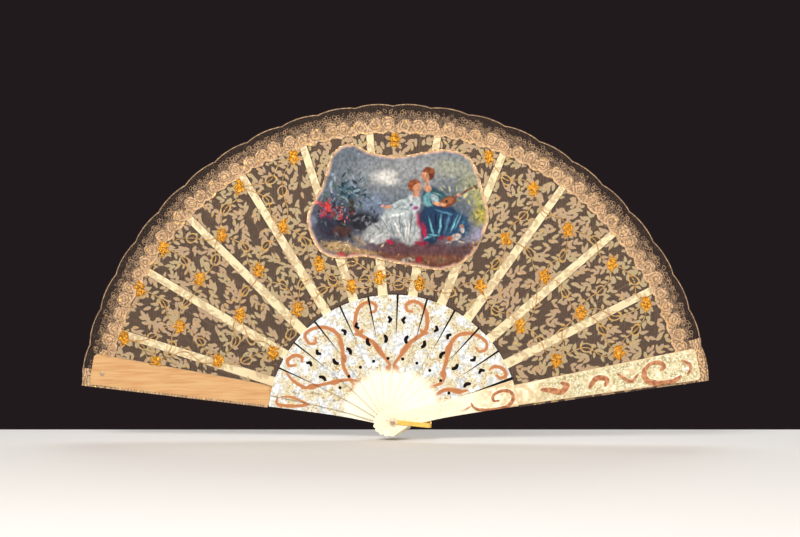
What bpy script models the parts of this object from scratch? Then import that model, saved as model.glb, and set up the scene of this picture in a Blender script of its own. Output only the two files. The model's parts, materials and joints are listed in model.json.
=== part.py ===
"""Folding hand fan with carved sticks, two guards, a pleated lace leaf and a painted medallion.

The fan stands open in the XZ plane and is seen from -Y. The rivet's axis is the Y axis, and the origin
is on it, half way through the pile of sticks. Angles are measured from +X towards +Z. The front guard is
layer 0, the sticks are layers 1 to 11 from right to left, and the back guard is the last layer.
Each layer lies one PITCH behind the one before it, so that the sticks slide past each other.
"""

from math import atan2, cos, pi, radians, sin, sqrt, tan

import bpy
from mathutils import Vector
from mathutils.geometry import delaunay_2d_cdt

MM = 0.001

# How the fan stands open, in degrees.
STICK_COUNT = 11
FRONT_GUARD_ANGLE = 11.4
FRONT_GAP = 15.5
STICK_GAP = 13.55
BACK_GAP = 7.4

# Lengths along a stick, from the rivet.
SHOULDER_RADIUS = 88.5 * MM
GUARD_REACH = 216.5 * MM
RIB_SHORTFALL = 10.5 * MM
LEAF_MARGIN = 5.0 * MM
STICK_HEAD = 11.2 * MM
WAIST = 10.0 * MM
GUARD_HEAD = 13.6 * MM
GUARD_SCALLOPS = 9
SCALLOP_HEIGHT = 1.0 * MM
FLARE_START = 30.0 * MM
SHOULDER_CLEARANCE = 0.6 * MM

# Widths across a stick.
HUB_HALF_WIDTH = 4.9 * MM
STICK_HEAD_HALF_WIDTH = 7.4 * MM
BLADE_SPACING = 1.5 * MM
FLARE_POWER = 1.25
RIB_ROOT_HALF_WIDTH = 3.4 * MM
RIB_TIP_HALF_WIDTH = 2.5 * MM
RIB_TENON = 5.0 * MM
GUARD_HUB_HALF_WIDTH = 5.2 * MM
GUARD_HEAD_HALF_WIDTH = 9.6 * MM
GUARD_BLADE_TURN = 1.8
ARM_OUTER_ROOT = 5.6 * MM
ARM_INNER_ROOT = 8.3 * MM
ARM_OUTER_TIP = 13.6 * MM
ARM_INNER_TIP = 8.6 * MM
LEAF_HEM = 1.8 * MM

# Layers of the pile, from front to back.
LAYER_GAP = 0.12 * MM
LEAF_THICKNESS = 0.15 * MM
MEDALLION_THICKNESS = 0.10 * MM
RIB_THICKNESS = 0.45 * MM
BLADE_CLEARANCE = 0.40 * MM
GUARD_PROUD = 1.30 * MM
PANEL_RELIEF = 0.30 * MM

# Piercings of a blade: distance from the rivet, sideways offset, length, width and bend.
OUTER_PIERCING = (0.8023 * SHOULDER_RADIUS, 3.1 * MM, 5.8 * MM, 2.7 * MM, 1.0 * MM)
MIDDLE_PIERCING = (0.652 * SHOULDER_RADIUS, -0.7 * MM, 6.8 * MM, 2.7 * MM, 0.7 * MM)
INNER_PIERCING_DISTANCE = 0.495 * SHOULDER_RADIUS
INNER_PIERCING_RADIUS = 1.2 * MM

# Rivet, washers, loop and tip studs.
RIVET_RADIUS = 1.2 * MM
RIVET_CLEARANCE = 0.08 * MM
RIVET_HEAD_RADIUS = 2.1 * MM
RIVET_HEAD_HEIGHT = 0.9 * MM
WASHER_RADIUS = 2.6 * MM
WASHER_THICKNESS = 0.4 * MM
HARDWARE_GAP = 0.15 * MM
LOOP_ANGLE = -6.0
LOOP_REACH = 27.0 * MM
LOOP_WIDTH = 3.0 * MM
LOOP_THICKNESS = 0.7 * MM
LOOP_EYE_RADIUS = 2.9 * MM
LOOP_CORNER = 4.0 * MM
STUD_SETBACK = 8.0 * MM
STUD_OFFSET = 4.5 * MM
STUD_RADIUS = 0.6 * MM
STUD_CLEARANCE = 0.12 * MM
STUD_HEAD_RADIUS = 1.5 * MM
STUD_HEAD_HEIGHT = 0.6 * MM
STUD_THIN_HEAD_HEIGHT = 0.16 * MM
STUD_LOOSENESS = 0.05 * MM

# Painted medallion, sewn to the leaf: points round its edge as world X and Z in millimetres.
MEDALLION_SCALE = 1.0
MEDALLION_EDGE = (
    (66.6, 141), (64.9, 135.4), (60, 123), (50, 112), (34, 106), (13, 109), (-6, 112.5), (-20, 115.5),
    (-37, 114), (-50, 118), (-57, 129), (-60.3, 141), (-58, 150), (-51, 162), (-47, 173), (-44, 184),
    (-38, 192), (-29, 194.5), (-19, 189.5), (-6, 186.2), (7, 185.8), (23, 188.5), (36, 190.3),
    (50, 187), (58, 177.6), (63.6, 158), (66.6, 148),
)
SMALLEST_SCRAP = 2.5

ROUND_STEPS = 16
ARC_STEP = 1.3

# Values worked out from those above.
BACK_LAYER = STICK_COUNT + 1
PITCH = RIB_THICKNESS + 2 * (LEAF_THICKNESS + MEDALLION_THICKNESS) + 5 * LAYER_GAP
BLADE_THICKNESS = PITCH - BLADE_CLEARANCE
PLEAT_DEPTH = 1.5 * LAYER_GAP + MEDALLION_THICKNESS
RIB_DEPTH = PLEAT_DEPTH + LEAF_THICKNESS + LAYER_GAP
FOLD_DEPTH = RIB_DEPTH + RIB_THICKNESS + 2 * LAYER_GAP + MEDALLION_THICKNESS
PLAIN_PROUD = GUARD_PROUD - PANEL_RELIEF
SHOULDER_HALF_WIDTH = SHOULDER_RADIUS * tan(radians(STICK_GAP) / 2) - BLADE_SPACING / 2
GUARD_SHOULDER_HALF_WIDTH = SHOULDER_HALF_WIDTH - 0.4 * MM
PANEL_START = LOOP_REACH + 3.0 * MM
LEAF_START = SHOULDER_RADIUS + SHOULDER_CLEARANCE
RIB_REACH = GUARD_REACH - RIB_SHORTFALL
LEAF_REACH = GUARD_REACH + LEAF_MARGIN
MEDALLION_SIZE = MEDALLION_SCALE * GUARD_REACH / 216.5
STUD_DISTANCE = GUARD_REACH - STUD_SETBACK
RIVET_HOLE_RADIUS = RIVET_RADIUS + RIVET_CLEARANCE
STUD_HOLE_RADIUS = STUD_RADIUS + STUD_CLEARANCE


def layer_angle(layer):
    """The angle of a layer's axis, in degrees."""
    if layer == 0:
        return FRONT_GUARD_ANGLE
    last_stick = FRONT_GUARD_ANGLE + FRONT_GAP + STICK_GAP * (min(layer, STICK_COUNT) - 1)
    return last_stick + (BACK_GAP if layer == BACK_LAYER else 0)


def layer_front(layer):
    """The Y of the front face of a layer's blade."""
    return (layer - BACK_LAYER / 2) * PITCH - BLADE_THICKNESS / 2


# Outlines, as lists of (distance along the axis, offset to the left of it).


def circle(along, aside, radius, steps=ROUND_STEPS):
    turn = [2 * pi * i / steps for i in range(steps)]
    return [(along + radius * cos(t), aside + radius * sin(t)) for t in turn]


def piercing(along, aside, length, width, bend, steps=5):
    """A bean-shaped hole whose long side runs along the stick."""
    straight = length - width
    spine = [(straight * (i / (steps - 1) - 0.5)) for i in range(steps)]

    def bow(x):
        return bend * (1 - (2 * x / straight) ** 2)

    left = [(along + x, aside + bow(x) + width / 2) for x in spine]
    right = [(along + x, aside + bow(x) - width / 2) for x in reversed(spine)]
    far = (along + length / 2, aside)
    near = (along - length / 2, aside)
    return left + [far] + right + [near]


def oval_head(head, hub):
    """The rounded end below the rivet, from the right side to the left."""
    turns = [-pi / 2 - pi * i / 10 for i in range(11)]
    return [(head * cos(t), hub * sin(t)) for t in turns]


def blade_half_width(along, hub, shoulder):
    share = max(0.0, along - FLARE_START) / (SHOULDER_RADIUS - FLARE_START)
    return hub + (shoulder - hub) * share**FLARE_POWER


def scalloped_head(head, hub):
    """The guard's rounded head, cut in small scallops. It runs from the rivet's right to its left."""
    steps = 4 * GUARD_SCALLOPS
    points = []
    for i in range(steps + 1):
        turn = -pi / 2 - pi * i / steps
        swell = SCALLOP_HEIGHT * (abs(sin(pi * i / 4)) - 0.5)
        points.append(((head + swell) * cos(turn), (hub + swell) * sin(turn)))
    return points


def blade_outline(head_points, hub, shoulder, waist):
    """Head, waist and flared blade, ending in an arc about the rivet at the shoulder."""
    span = SHOULDER_RADIUS - FLARE_START
    alongs = [waist, FLARE_START] + [FLARE_START + span * i / 5 for i in range(1, 5)]
    side = [(along, blade_half_width(along, hub, shoulder)) for along in alongs]
    end_turn = atan2(shoulder, SHOULDER_RADIUS)
    arc = [end_turn * (1 - i / 3) for i in range(7)]
    end = [(SHOULDER_RADIUS * cos(t), SHOULDER_RADIUS * sin(t)) for t in arc]
    return head_points + side + end + [(along, -aside) for along, aside in reversed(side)]


def rib_outline():
    """The thin rib above the blade, with a round tip, and a tenon that reaches into the blade."""
    root = SHOULDER_RADIUS - RIB_TENON
    tip = RIB_REACH - RIB_TIP_HALF_WIDTH
    turns = [pi / 2 - pi * i / 6 for i in range(7)]
    end = [
        (tip + RIB_TIP_HALF_WIDTH * cos(t), RIB_TIP_HALF_WIDTH * sin(t)) for t in turns
    ]
    return [(root, RIB_ROOT_HALF_WIDTH)] + end + [(root, -RIB_ROOT_HALF_WIDTH)]


def turned_outline(outline, degrees):
    turn = radians(degrees)
    return [
        (x * cos(turn) - y * sin(turn), x * sin(turn) + y * cos(turn))
        for x, y in outline
    ]


def arm_outline(outer_sign):
    """The guard's upper arm, wider on its outer edge. outer_sign is -1 where that edge is on the right."""
    root = SHOULDER_RADIUS - RIB_TENON
    outer = [
        (root, ARM_OUTER_ROOT),
        (GUARD_REACH - 2 * MM, ARM_OUTER_TIP),
        (GUARD_REACH, ARM_OUTER_TIP - 2 * MM),
    ]
    inner = [
        (GUARD_REACH, -ARM_INNER_TIP + 2 * MM),
        (GUARD_REACH - 2 * MM, -ARM_INNER_TIP),
        (root, -ARM_INNER_ROOT),
    ]
    return [(along, outer_sign * aside) for along, aside in outer + inner]


def stud_hole(outer_sign):
    return circle(STUD_DISTANCE, outer_sign * STUD_OFFSET, STUD_HOLE_RADIUS, 12)


def panel_outline(outline_hub, outline_shoulder):
    """The raised, decorated part of a guard's blade, set in from the blade's edge."""
    inset = 0.5 * MM
    alongs = [
        PANEL_START + (SHOULDER_RADIUS - inset - PANEL_START) * i / 4 for i in range(5)
    ]
    side = [
        (along, blade_half_width(along, outline_hub, outline_shoulder) - inset)
        for along in alongs
    ]
    return side + [(along, -aside) for along, aside in reversed(side)]


def arc_points(radius, start, stop):
    """Points on an arc about the rivet, from start to stop in degrees, no more than ARC_STEP apart."""
    count = max(2, int(abs(stop - start) / ARC_STEP) + 2)
    turns = [radians(start + (stop - start) * i / (count - 1)) for i in range(count)]
    return [(radius * cos(t), radius * sin(t)) for t in turns]


def sector_outline(start, stop):
    """A panel of the leaf between two creases, both of which run towards the rivet."""
    return arc_points(LEAF_START, start, stop) + arc_points(LEAF_REACH, stop, start)


def end_panel_outline(crease, outer_sign):
    """The leaf's first or last panel, from its crease to a hem just past the guard's outer edge."""
    root_hem = outer_sign * (ARM_OUTER_ROOT + LEAF_HEM)
    tip_hem = outer_sign * (ARM_OUTER_TIP + LEAF_HEM)
    root = (sqrt(LEAF_START**2 - root_hem**2), root_hem)
    tip = (sqrt(LEAF_REACH**2 - tip_hem**2), tip_hem)
    root_angle = atan2(root[1], root[0]) * 180 / pi
    tip_angle = atan2(tip[1], tip[0]) * 180 / pi
    return arc_points(LEAF_START, crease, root_angle) + arc_points(
        LEAF_REACH, tip_angle, crease
    )


def medallion_outline():
    """The cartouche in world X and Z, as a smooth curve through its points."""
    count = len(MEDALLION_EDGE)
    size = MEDALLION_SIZE
    points = []
    for i in range(count):
        a, b, c, d = (Vector(MEDALLION_EDGE[(i + k) % count]) * size for k in range(-1, 3))
        points.append(tuple(b))
        points.append(tuple((9 * (b + c) - a - d) / 16))
    return points


# Solids.


def clear_scene():
    for obj in list(bpy.data.objects):
        bpy.data.objects.remove(obj)


def new_collection(name):
    collection = bpy.data.collections.new(name)
    bpy.context.scene.collection.children.link(collection)
    return collection


def material(name, colour, roughness, metallic=0.0):
    made = bpy.data.materials.new(name)
    made.use_nodes = True
    shader = made.node_tree.nodes["Principled BSDF"]
    shader.inputs["Base Color"].default_value = (*colour, 1.0)
    shader.inputs["Roughness"].default_value = roughness
    shader.inputs["Metallic"].default_value = metallic
    return made


def is_inside(x, y, outlines):
    """Whether a point is in the outer outline and not in a hole."""
    inside = False
    for outline in outlines:
        for (x0, y0), (x1, y1) in zip(outline, outline[1:] + outline[:1]):
            if (y0 > y) != (y1 > y) and x < x0 + (y - y0) / (y1 - y0) * (x1 - x0):
                inside = not inside
    return inside


def plate(name, outlines, thickness, depth):
    """A flat solid from an outline and its holes. depth is how far its front face is behind local Z 0."""
    points = [Vector((x / MM, y / MM)) for outline in outlines for x, y in outline]
    edges = []
    for outline in outlines:
        first = len(edges)
        size = len(outline)
        edges += [(first + i, first + (i + 1) % size) for i in range(size)]
    corners, _, triangles, *_ = delaunay_2d_cdt(points, edges, [], 1, 1e-5)
    flat = [corner * MM for corner in corners]
    kept = []
    for a, b, c in triangles:
        middle = (flat[a] + flat[b] + flat[c]) / 3
        if is_inside(middle.x, middle.y, outlines):
            kept.append((a, b, c))
    sides = {(a, b) for t in kept for a, b in zip(t, t[1:] + t[:1])}
    rim = [(a, b) for a, b in sorted(sides) if (b, a) not in sides]
    count = len(flat)
    front = [(v.x, v.y, -depth) for v in flat]
    back = [(v.x, v.y, -depth - thickness) for v in flat]
    faces = kept + [(c + count, b + count, a + count) for a, b, c in kept]
    faces += [(b, a, a + count, b + count) for a, b in rim]
    mesh = bpy.data.meshes.new(name)
    mesh.from_pydata(front + back, [], faces)
    solid = bpy.data.objects.new(name, mesh)
    fan.objects.link(solid)
    return solid


def combine(solid, other, operation):
    """Joins other to solid, cuts it away or keeps what they share, and removes other."""
    modifier = solid.modifiers.new(operation.lower(), "BOOLEAN")
    modifier.operation = operation
    modifier.object = other
    graph = bpy.context.evaluated_depsgraph_get()
    mesh = bpy.data.meshes.new_from_object(solid.evaluated_get(graph))
    solid.modifiers.clear()
    solid.data = mesh
    bpy.data.objects.remove(other)
    return solid


def lay_in(solid, layer, finish, extra_turn=0.0):
    """Puts a plate's axis on its layer's angle, with local Z facing the front."""
    turn = layer_angle(layer) + extra_turn
    solid.rotation_euler = (pi / 2, -radians(turn), 0)
    solid.location = (0, layer_front(layer), 0)
    solid.data.materials.clear()
    solid.data.materials.append(finish)
    return solid


def make_stick(layer):
    side = 1 if layer % 2 else -1
    holes = [circle(0, 0, RIVET_HOLE_RADIUS)]
    holes.append(circle(INNER_PIERCING_DISTANCE, 0, INNER_PIERCING_RADIUS, 10))
    for along, aside, length, width, bend in (OUTER_PIERCING, MIDDLE_PIERCING):
        holes.append(piercing(along, side * aside, length, width, side * bend))
    head = oval_head(STICK_HEAD, STICK_HEAD_HALF_WIDTH)
    outline = blade_outline(head, HUB_HALF_WIDTH, SHOULDER_HALF_WIDTH, WAIST)
    blade = plate(f"stick_{layer:02d}", [outline, *holes], BLADE_THICKNESS, 0)
    rib = plate("rib", [rib_outline()], RIB_THICKNESS, RIB_DEPTH)
    return lay_in(combine(blade, rib, "UNION"), layer, ivory)


def make_guard(name, layer, outer_sign):
    """A guard is a blade, a thicker raised panel on its outer side, and a wide upper arm."""
    hub_hole = circle(0, 0, RIVET_HOLE_RADIUS)
    head = scalloped_head(GUARD_HEAD, GUARD_HEAD_HALF_WIDTH)
    outline = blade_outline(head, GUARD_HUB_HALF_WIDTH, GUARD_SHOULDER_HALF_WIDTH, WAIST)
    panel = panel_outline(GUARD_HUB_HALF_WIDTH, GUARD_SHOULDER_HALF_WIDTH)
    inward = -outer_sign * GUARD_BLADE_TURN
    outline = turned_outline(outline, inward)
    panel = turned_outline(panel, inward)
    arm = arm_outline(outer_sign)
    if layer == 0:
        arm_front, arm_back = -PLAIN_PROUD, PLEAT_DEPTH - LAYER_GAP
        blade_front, panel_front = -PLAIN_PROUD, -GUARD_PROUD
    else:
        arm_front, arm_back = RIB_DEPTH, BLADE_THICKNESS + PLAIN_PROUD
        blade_front, panel_front = 0, BLADE_THICKNESS
    blade_depth = BLADE_THICKNESS + PLAIN_PROUD
    panel_depth = GUARD_PROUD
    guard = plate(name, [outline, hub_hole], blade_depth, blade_front)
    combine(
        guard,
        plate("arm", [arm, stud_hole(outer_sign)], arm_back - arm_front, arm_front),
        "UNION",
    )
    combine(guard, plate("panel", [panel], panel_depth, panel_front), "UNION")
    return lay_in(guard, layer, ivory)


def make_pleat(layer):
    """The leaf's panel that is glued to the front of a rib, or to the inner face of a guard."""
    angle = layer_angle(layer)
    before = (angle - layer_angle(max(layer - 1, 0))) / 4
    after = (layer_angle(min(layer + 1, BACK_LAYER)) - angle) / 4
    name = f"leaf_pleat_{layer:02d}"
    if 0 < layer < BACK_LAYER:
        outlines = [sector_outline(-before, after)]
    else:
        crease, outer_sign = (after, -1) if layer == 0 else (-before, 1)
        outlines = [
            end_panel_outline(crease, outer_sign),
            stud_hole(outer_sign),
        ]
    return lay_in(plate(name, outlines, LEAF_THICKNESS, PLEAT_DEPTH), layer, lace)


def make_fold(layer):
    """The leaf's free panel between a layer and the next one, behind the ribs of the first."""
    gap = layer_angle(layer + 1) - layer_angle(layer)
    outline = sector_outline(gap / 4, gap * 3 / 4)
    name = f"leaf_fold_{layer + 1:02d}"
    return lay_in(plate(name, [outline], LEAF_THICKNESS, FOLD_DEPTH), layer, lace)


def medallion_span():
    """The angles between which the medallion lies, leaving out scraps too small to be a piece."""
    turns = [atan2(z, x) * 180 / pi for x, z in medallion_outline()]
    return min(turns) + SMALLEST_SCRAP, max(turns) - SMALLEST_SCRAP


def medallion_panel(name, layer, start, stop, depth):
    """The part of the painted medallion that lies on one panel of the leaf."""
    panel = plate(name, [sector_outline(start, stop)], MEDALLION_THICKNESS, depth)
    turn = -radians(layer_angle(layer))
    drawn = [
        (x * cos(turn) - z * sin(turn), x * sin(turn) + z * cos(turn))
        for x, z in medallion_outline()
    ]
    margin = MEDALLION_THICKNESS
    cutter = plate("cartouche", [drawn], 3 * MEDALLION_THICKNESS, depth - margin)
    return lay_in(combine(panel, cutter, "INTERSECT"), layer, paint)


def make_medallion():
    """One piece for each panel that the medallion crosses, numbered from right to left.

    The last piece runs on past its crease, in front of the panel there, to the medallion's edge.
    """
    made = 0
    low, high = medallion_span()
    for layer in range(1, BACK_LAYER):
        here = layer_angle(layer)
        before = here - layer_angle(layer - 1)
        after = layer_angle(layer + 1) - here
        on_fold_depth = FOLD_DEPTH - LAYER_GAP - MEDALLION_THICKNESS
        on_pleat_depth = PLEAT_DEPTH - LAYER_GAP - MEDALLION_THICKNESS
        panels = (
            (-before / 4, after / 4, on_pleat_depth),
            (after / 4, after * 3 / 4, on_fold_depth),
        )
        for start, stop, depth in panels:
            if here + stop > low and here + start < high:
                made += 1
                is_last = here + stop >= high
                overhang = 2 * SMALLEST_SCRAP if is_last else 0
                name = f"medallion_{made:02d}"
                medallion_panel(name, layer, start, stop + overhang, depth)


def turned(name, profile, finish, location, steps=ROUND_STEPS):
    """A turned piece about the Y axis. profile runs down its outer side, as (radius, height)."""
    mesh = bpy.data.meshes.new(name)
    mesh.from_pydata(
        [(radius, 0, height) for radius, height in profile],
        [(i, i + 1) for i in range(len(profile) - 1)],
        [],
    )
    solid = bpy.data.objects.new(name, mesh)
    fan.objects.link(solid)
    screw = solid.modifiers.new("turn", "SCREW")
    screw.steps = steps
    screw.render_steps = steps
    screw.use_merge_vertices = True
    screw.merge_threshold = 0.001 * MM
    solid.rotation_euler = (pi / 2, 0, 0)
    solid.location = location
    solid.data.materials.append(finish)
    return solid


def headed_pin_profile(shaft, head, front_height, back_height, half_length):
    """A pin with a low domed head at each end. half_length is measured to the underside of a head."""

    def dome(height):
        turns = [pi / 2 * i / 4 for i in range(4)]
        points = [(head * sin(t), half_length + height * (0.25 + 0.75 * cos(t))) for t in turns]
        points += [(head, half_length + height * 0.25), (head, half_length)]
        return points + [(shaft, half_length)]

    back = [(radius, -height) for radius, height in reversed(dome(back_height))]
    return dome(front_height) + back


def make_rivet():
    """The pin through the heads of all the sticks, and a washer at each end of it."""
    front_face = layer_front(0) - PLAIN_PROUD
    back_face = layer_front(BACK_LAYER) + BLADE_THICKNESS + PLAIN_PROUD
    loop_room = HARDWARE_GAP + LOOP_THICKNESS
    front_washer = front_face - loop_room - HARDWARE_GAP - WASHER_THICKNESS / 2
    back_washer = back_face + loop_room + HARDWARE_GAP + WASHER_THICKNESS / 2
    half_length = (back_washer - front_washer + WASHER_THICKNESS) / 2 + HARDWARE_GAP
    middle = (front_washer + back_washer) / 2
    profile = headed_pin_profile(
        RIVET_RADIUS, RIVET_HEAD_RADIUS, RIVET_HEAD_HEIGHT, RIVET_HEAD_HEIGHT, half_length
    )
    turned("rivet_pin", profile, brass, (0, middle, 0))
    for name, place in (("front_washer", front_washer), ("back_washer", back_washer)):
        outlines = [circle(0, 0, WASHER_RADIUS, 24), circle(0, 0, RIVET_HOLE_RADIUS)]
        washer = plate(name, outlines, WASHER_THICKNESS, -WASHER_THICKNESS / 2)
        washer.rotation_euler = (pi / 2, 0, 0)
        washer.location = (0, place, 0)
        washer.data.materials.append(pearl)
    make_loop(front_face - loop_room, back_face + loop_room)


def make_loop(front, back):
    """A brass strap bent to a U round the fan's head, with an eye at each end on the rivet."""

    def bend(reach, low, high, corner):
        """The free end of the U, as points from the front leg to the back leg."""
        turns = [pi / 2 * i / 4 for i in range(5)]
        near = [
            (reach - corner + corner * sin(t), low + corner - corner * cos(t))
            for t in turns
        ]
        far = [
            (reach - corner + corner * cos(t), high - corner + corner * sin(t))
            for t in turns
        ]
        return near + far

    outer = bend(LOOP_REACH, front, back, LOOP_CORNER)
    inner = bend(
        LOOP_REACH - LOOP_THICKNESS,
        front + LOOP_THICKNESS,
        back - LOOP_THICKNESS,
        LOOP_CORNER - LOOP_THICKNESS,
    )
    outline = [(0, front), *outer, (0, back), (0, back - LOOP_THICKNESS)]
    outline += [*reversed(inner), (0, front + LOOP_THICKNESS)]
    loop = plate("rivet_loop", [outline], LOOP_WIDTH, -LOOP_WIDTH / 2)
    loop.rotation_euler = (0, -radians(LOOP_ANGLE), 0)
    loop.data.materials.append(brass)
    for face in (front, back - LOOP_THICKNESS):
        eye = plate("eye", [circle(0, 0, LOOP_EYE_RADIUS, 24)], LOOP_THICKNESS, 0)
        eye.rotation_euler = (pi / 2, 0, 0)
        eye.location = (0, face, 0)
        combine(loop, eye, "UNION")
    length = 2 * (back - front)
    hole = plate("hole", [circle(0, 0, RIVET_HOLE_RADIUS)], length, -length / 2)
    hole.rotation_euler = (pi / 2, 0, 0)
    return combine(loop, hole, "DIFFERENCE")


def make_stud(name, layer, outer_sign):
    """The small rivet that holds the end of the leaf to the tip of a guard."""
    distance = sqrt(STUD_DISTANCE**2 + STUD_OFFSET**2)
    angle = radians(layer_angle(layer)) + outer_sign * atan2(STUD_OFFSET, STUD_DISTANCE)
    if layer == 0:
        front, back = -PLAIN_PROUD, PLEAT_DEPTH + LEAF_THICKNESS
    else:
        front, back = PLEAT_DEPTH, BLADE_THICKNESS + PLAIN_PROUD
    front_height = STUD_HEAD_HEIGHT if layer == 0 else STUD_THIN_HEAD_HEIGHT
    half_length = (back - front) / 2 + STUD_LOOSENESS
    profile = headed_pin_profile(
        STUD_RADIUS, STUD_HEAD_RADIUS, front_height, STUD_HEAD_HEIGHT, half_length
    )
    place = (
        distance * cos(angle),
        layer_front(layer) + (front + back) / 2,
        distance * sin(angle),
    )
    return turned(name, profile, silver, place, 12)


clear_scene()
fan = new_collection("hand_fan")
ivory = material("ivory", (0.83, 0.76, 0.60), 0.32)
lace = material("lace", (0.70, 0.60, 0.45), 0.85)
paint = material("painted_silk", (0.38, 0.36, 0.38), 0.55)
brass = material("brass", (0.80, 0.55, 0.20), 0.30, 1.0)
silver = material("silver", (0.75, 0.73, 0.70), 0.25, 1.0)
pearl = material("pearl", (0.86, 0.82, 0.74), 0.25)

make_guard("front_guard", 0, -1)
for stick_layer in range(1, BACK_LAYER):
    make_stick(stick_layer)
make_guard("back_guard", BACK_LAYER, 1)
for pleat_layer in range(BACK_LAYER + 1):
    make_pleat(pleat_layer)
for fold_layer in range(BACK_LAYER):
    make_fold(fold_layer)
make_medallion()
make_rivet()
make_stud("front_tip_stud", 0, -1)
make_stud("back_tip_stud", BACK_LAYER, 1)
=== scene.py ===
"""Looks of the folding hand fan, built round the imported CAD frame.

The fan stands open in the XZ plane and faces -Y. Patterns are drawn at rest in that plane, in
millimetres from the rivet, and each panel or blade carries its own part of them.
"""

import json
from math import atan2, cos, degrees, hypot, pi, radians, sin

import bpy
import numpy as np
from bpy.props import FloatProperty, FloatVectorProperty, IntProperty, PointerProperty
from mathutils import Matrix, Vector
from mathutils.geometry import delaunay_2d_cdt


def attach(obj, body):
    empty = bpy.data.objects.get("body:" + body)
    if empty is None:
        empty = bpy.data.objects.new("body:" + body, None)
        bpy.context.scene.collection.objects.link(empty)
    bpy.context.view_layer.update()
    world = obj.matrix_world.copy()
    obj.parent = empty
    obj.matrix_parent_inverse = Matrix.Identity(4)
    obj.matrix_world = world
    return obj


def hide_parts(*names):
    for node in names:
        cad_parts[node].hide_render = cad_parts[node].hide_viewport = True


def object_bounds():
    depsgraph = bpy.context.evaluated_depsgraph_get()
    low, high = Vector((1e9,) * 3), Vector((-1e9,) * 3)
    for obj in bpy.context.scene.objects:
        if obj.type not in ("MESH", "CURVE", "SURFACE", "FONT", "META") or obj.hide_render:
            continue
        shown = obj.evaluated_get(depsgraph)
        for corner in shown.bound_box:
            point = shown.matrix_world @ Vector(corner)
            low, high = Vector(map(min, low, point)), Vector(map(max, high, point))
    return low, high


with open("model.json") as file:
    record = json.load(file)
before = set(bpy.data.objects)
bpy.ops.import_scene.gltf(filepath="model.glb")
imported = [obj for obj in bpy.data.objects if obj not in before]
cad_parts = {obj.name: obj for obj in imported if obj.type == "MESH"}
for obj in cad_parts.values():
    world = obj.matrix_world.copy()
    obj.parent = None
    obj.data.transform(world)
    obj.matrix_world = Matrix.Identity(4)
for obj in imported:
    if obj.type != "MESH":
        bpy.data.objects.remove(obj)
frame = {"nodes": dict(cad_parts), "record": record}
CAD_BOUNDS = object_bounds()

bl_info = {
    "name": "Folding Hand Fan",
    "version": (1, 0, 0),
    "blender": (4, 5, 0),
    "location": "View3D > Sidebar > Fan",
    "description": "Builds a folding lace fan with painted sticks round its CAD frame",
    "category": "Object",
}

MM = 0.001
NODES = frame["nodes"]
BACK_LAYER = 12
PATTERN_SEED = 7
FOLIAGE_SEED = 41

# Sizes in millimetres. A reach is a distance from the rivet, and a pair is where a change starts and ends.
RIB_END = 206.0
PAINT_START = (34, 42)
SCROLL_SPREAD = 0.4
SCROLL_HEIGHT = 0.06
GUARD_SCROLL_WIDTH = 1.45
GUARD_SCROLL_START = (44, 56)
GUARD_HAMMER_START = (40, 60)
GUARD_SCROLL_HEIGHT, GUARD_HAMMER_HEIGHT = 0.42, 0.30
GUARD_ARM_REACH = 95
FACE_CLEARANCE = 0.02

LONGEST_CORD = 52
FLOWER_LEAVES, FLOWER_LEAF_REACH = 7, 5.0
SPRIG_TRIES, SPRIG_CLEARANCE, RING_CLEARANCE = 5200, 5.0, 2.5
LACE_REACH = 224
LACE_START, LACE_END = (89.5, 92.0), (205, 201)
NO_PATTERN, FAR = 4.0, 9.0

EDGE_WAVES, EDGE_WAVE_DEPTH = 26.0, 0.012
TRIM_PITCH, TRIM_MIDDLE, TRIM_INNER, TRIM_OUTER = 10.4, 210.0, 202.6, 214.0
ROSETTE_REACH, ROSETTE_RADIUS = 208.0, 4.9
FULL_TRIM = 1.2
PANEL_LAP = 0.5
MOTIF_HEIGHT = 0.05
RUFFLE_ROOM = {"pleat": 0.28, "fold": 0.45}

CORD_END = 203
CORD_RADIUS = 0.34
LOOP_ROWS = (204.2, 206.4, 208.6, 210.8, 213.0, 215.2, 216.8)
LOOP_PITCH, LOOP_RADIUS, LOOP_THREAD, LOOP_MARGIN = 1.9, 1.3, 0.12, 0.9
LOOP_SIZES = (0.6, 0.35, 1.0), (1.3, 0.95, 1.0)
PETALS, PETAL_REACH, PETAL_SPREAD, BEADS_PER_PETAL = 6, (2.1, 3.4), 0.85, 28
BEAD_RADIUS, BEAD_SHAPE = 0.7, (1.0, 0.4, 1.0)
FEWEST_BEADS = 4

FOLD_LAP, PLEAT_LAP = 0.9, 0.65
BRAID_RADIUS, BRAID_THICKNESS, BRAID_PROUD = 0.5, 0.09, 0.02


def node_vertices(name):
    """The vertices of a CAD node in millimetres, as an array."""
    mesh = NODES[name].data
    flat = np.empty(len(mesh.vertices) * 3)
    mesh.vertices.foreach_get("co", flat)
    return flat.reshape(-1, 3) / MM


def body_of_layer(layer):
    """The stick or guard that carries a layer of the leaf."""
    return {0: "front_guard", BACK_LAYER: "back_guard"}.get(layer, f"stick_{layer:02d}")


# Patterns. Every point is (x, z) in millimetres, seen from the front.

GOLD_FLOWERS = (
    # (degrees from +X, distance from the rivet)
    (163.2, 199), (166.6, 173), (152.7, 201), (156.4, 165), (161.4, 130.5), (143.3, 202),
    (144, 169), (145.7, 131), (150.7, 97), (132.8, 178), (132, 142), (130.7, 103),
    (123.3, 197), (119.5, 157), (115.3, 121.5), (107, 99), (110.7, 198), (95.6, 101),
    (89.6, 197), (78.9, 98), (70, 197), (58.8, 190), (58.2, 150), (57.1, 113),
    (47.6, 182), (43.6, 147), (36.8, 111), (35.7, 189), (30, 152), (20.6, 122),
    (25, 195), (17, 165),
)

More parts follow.
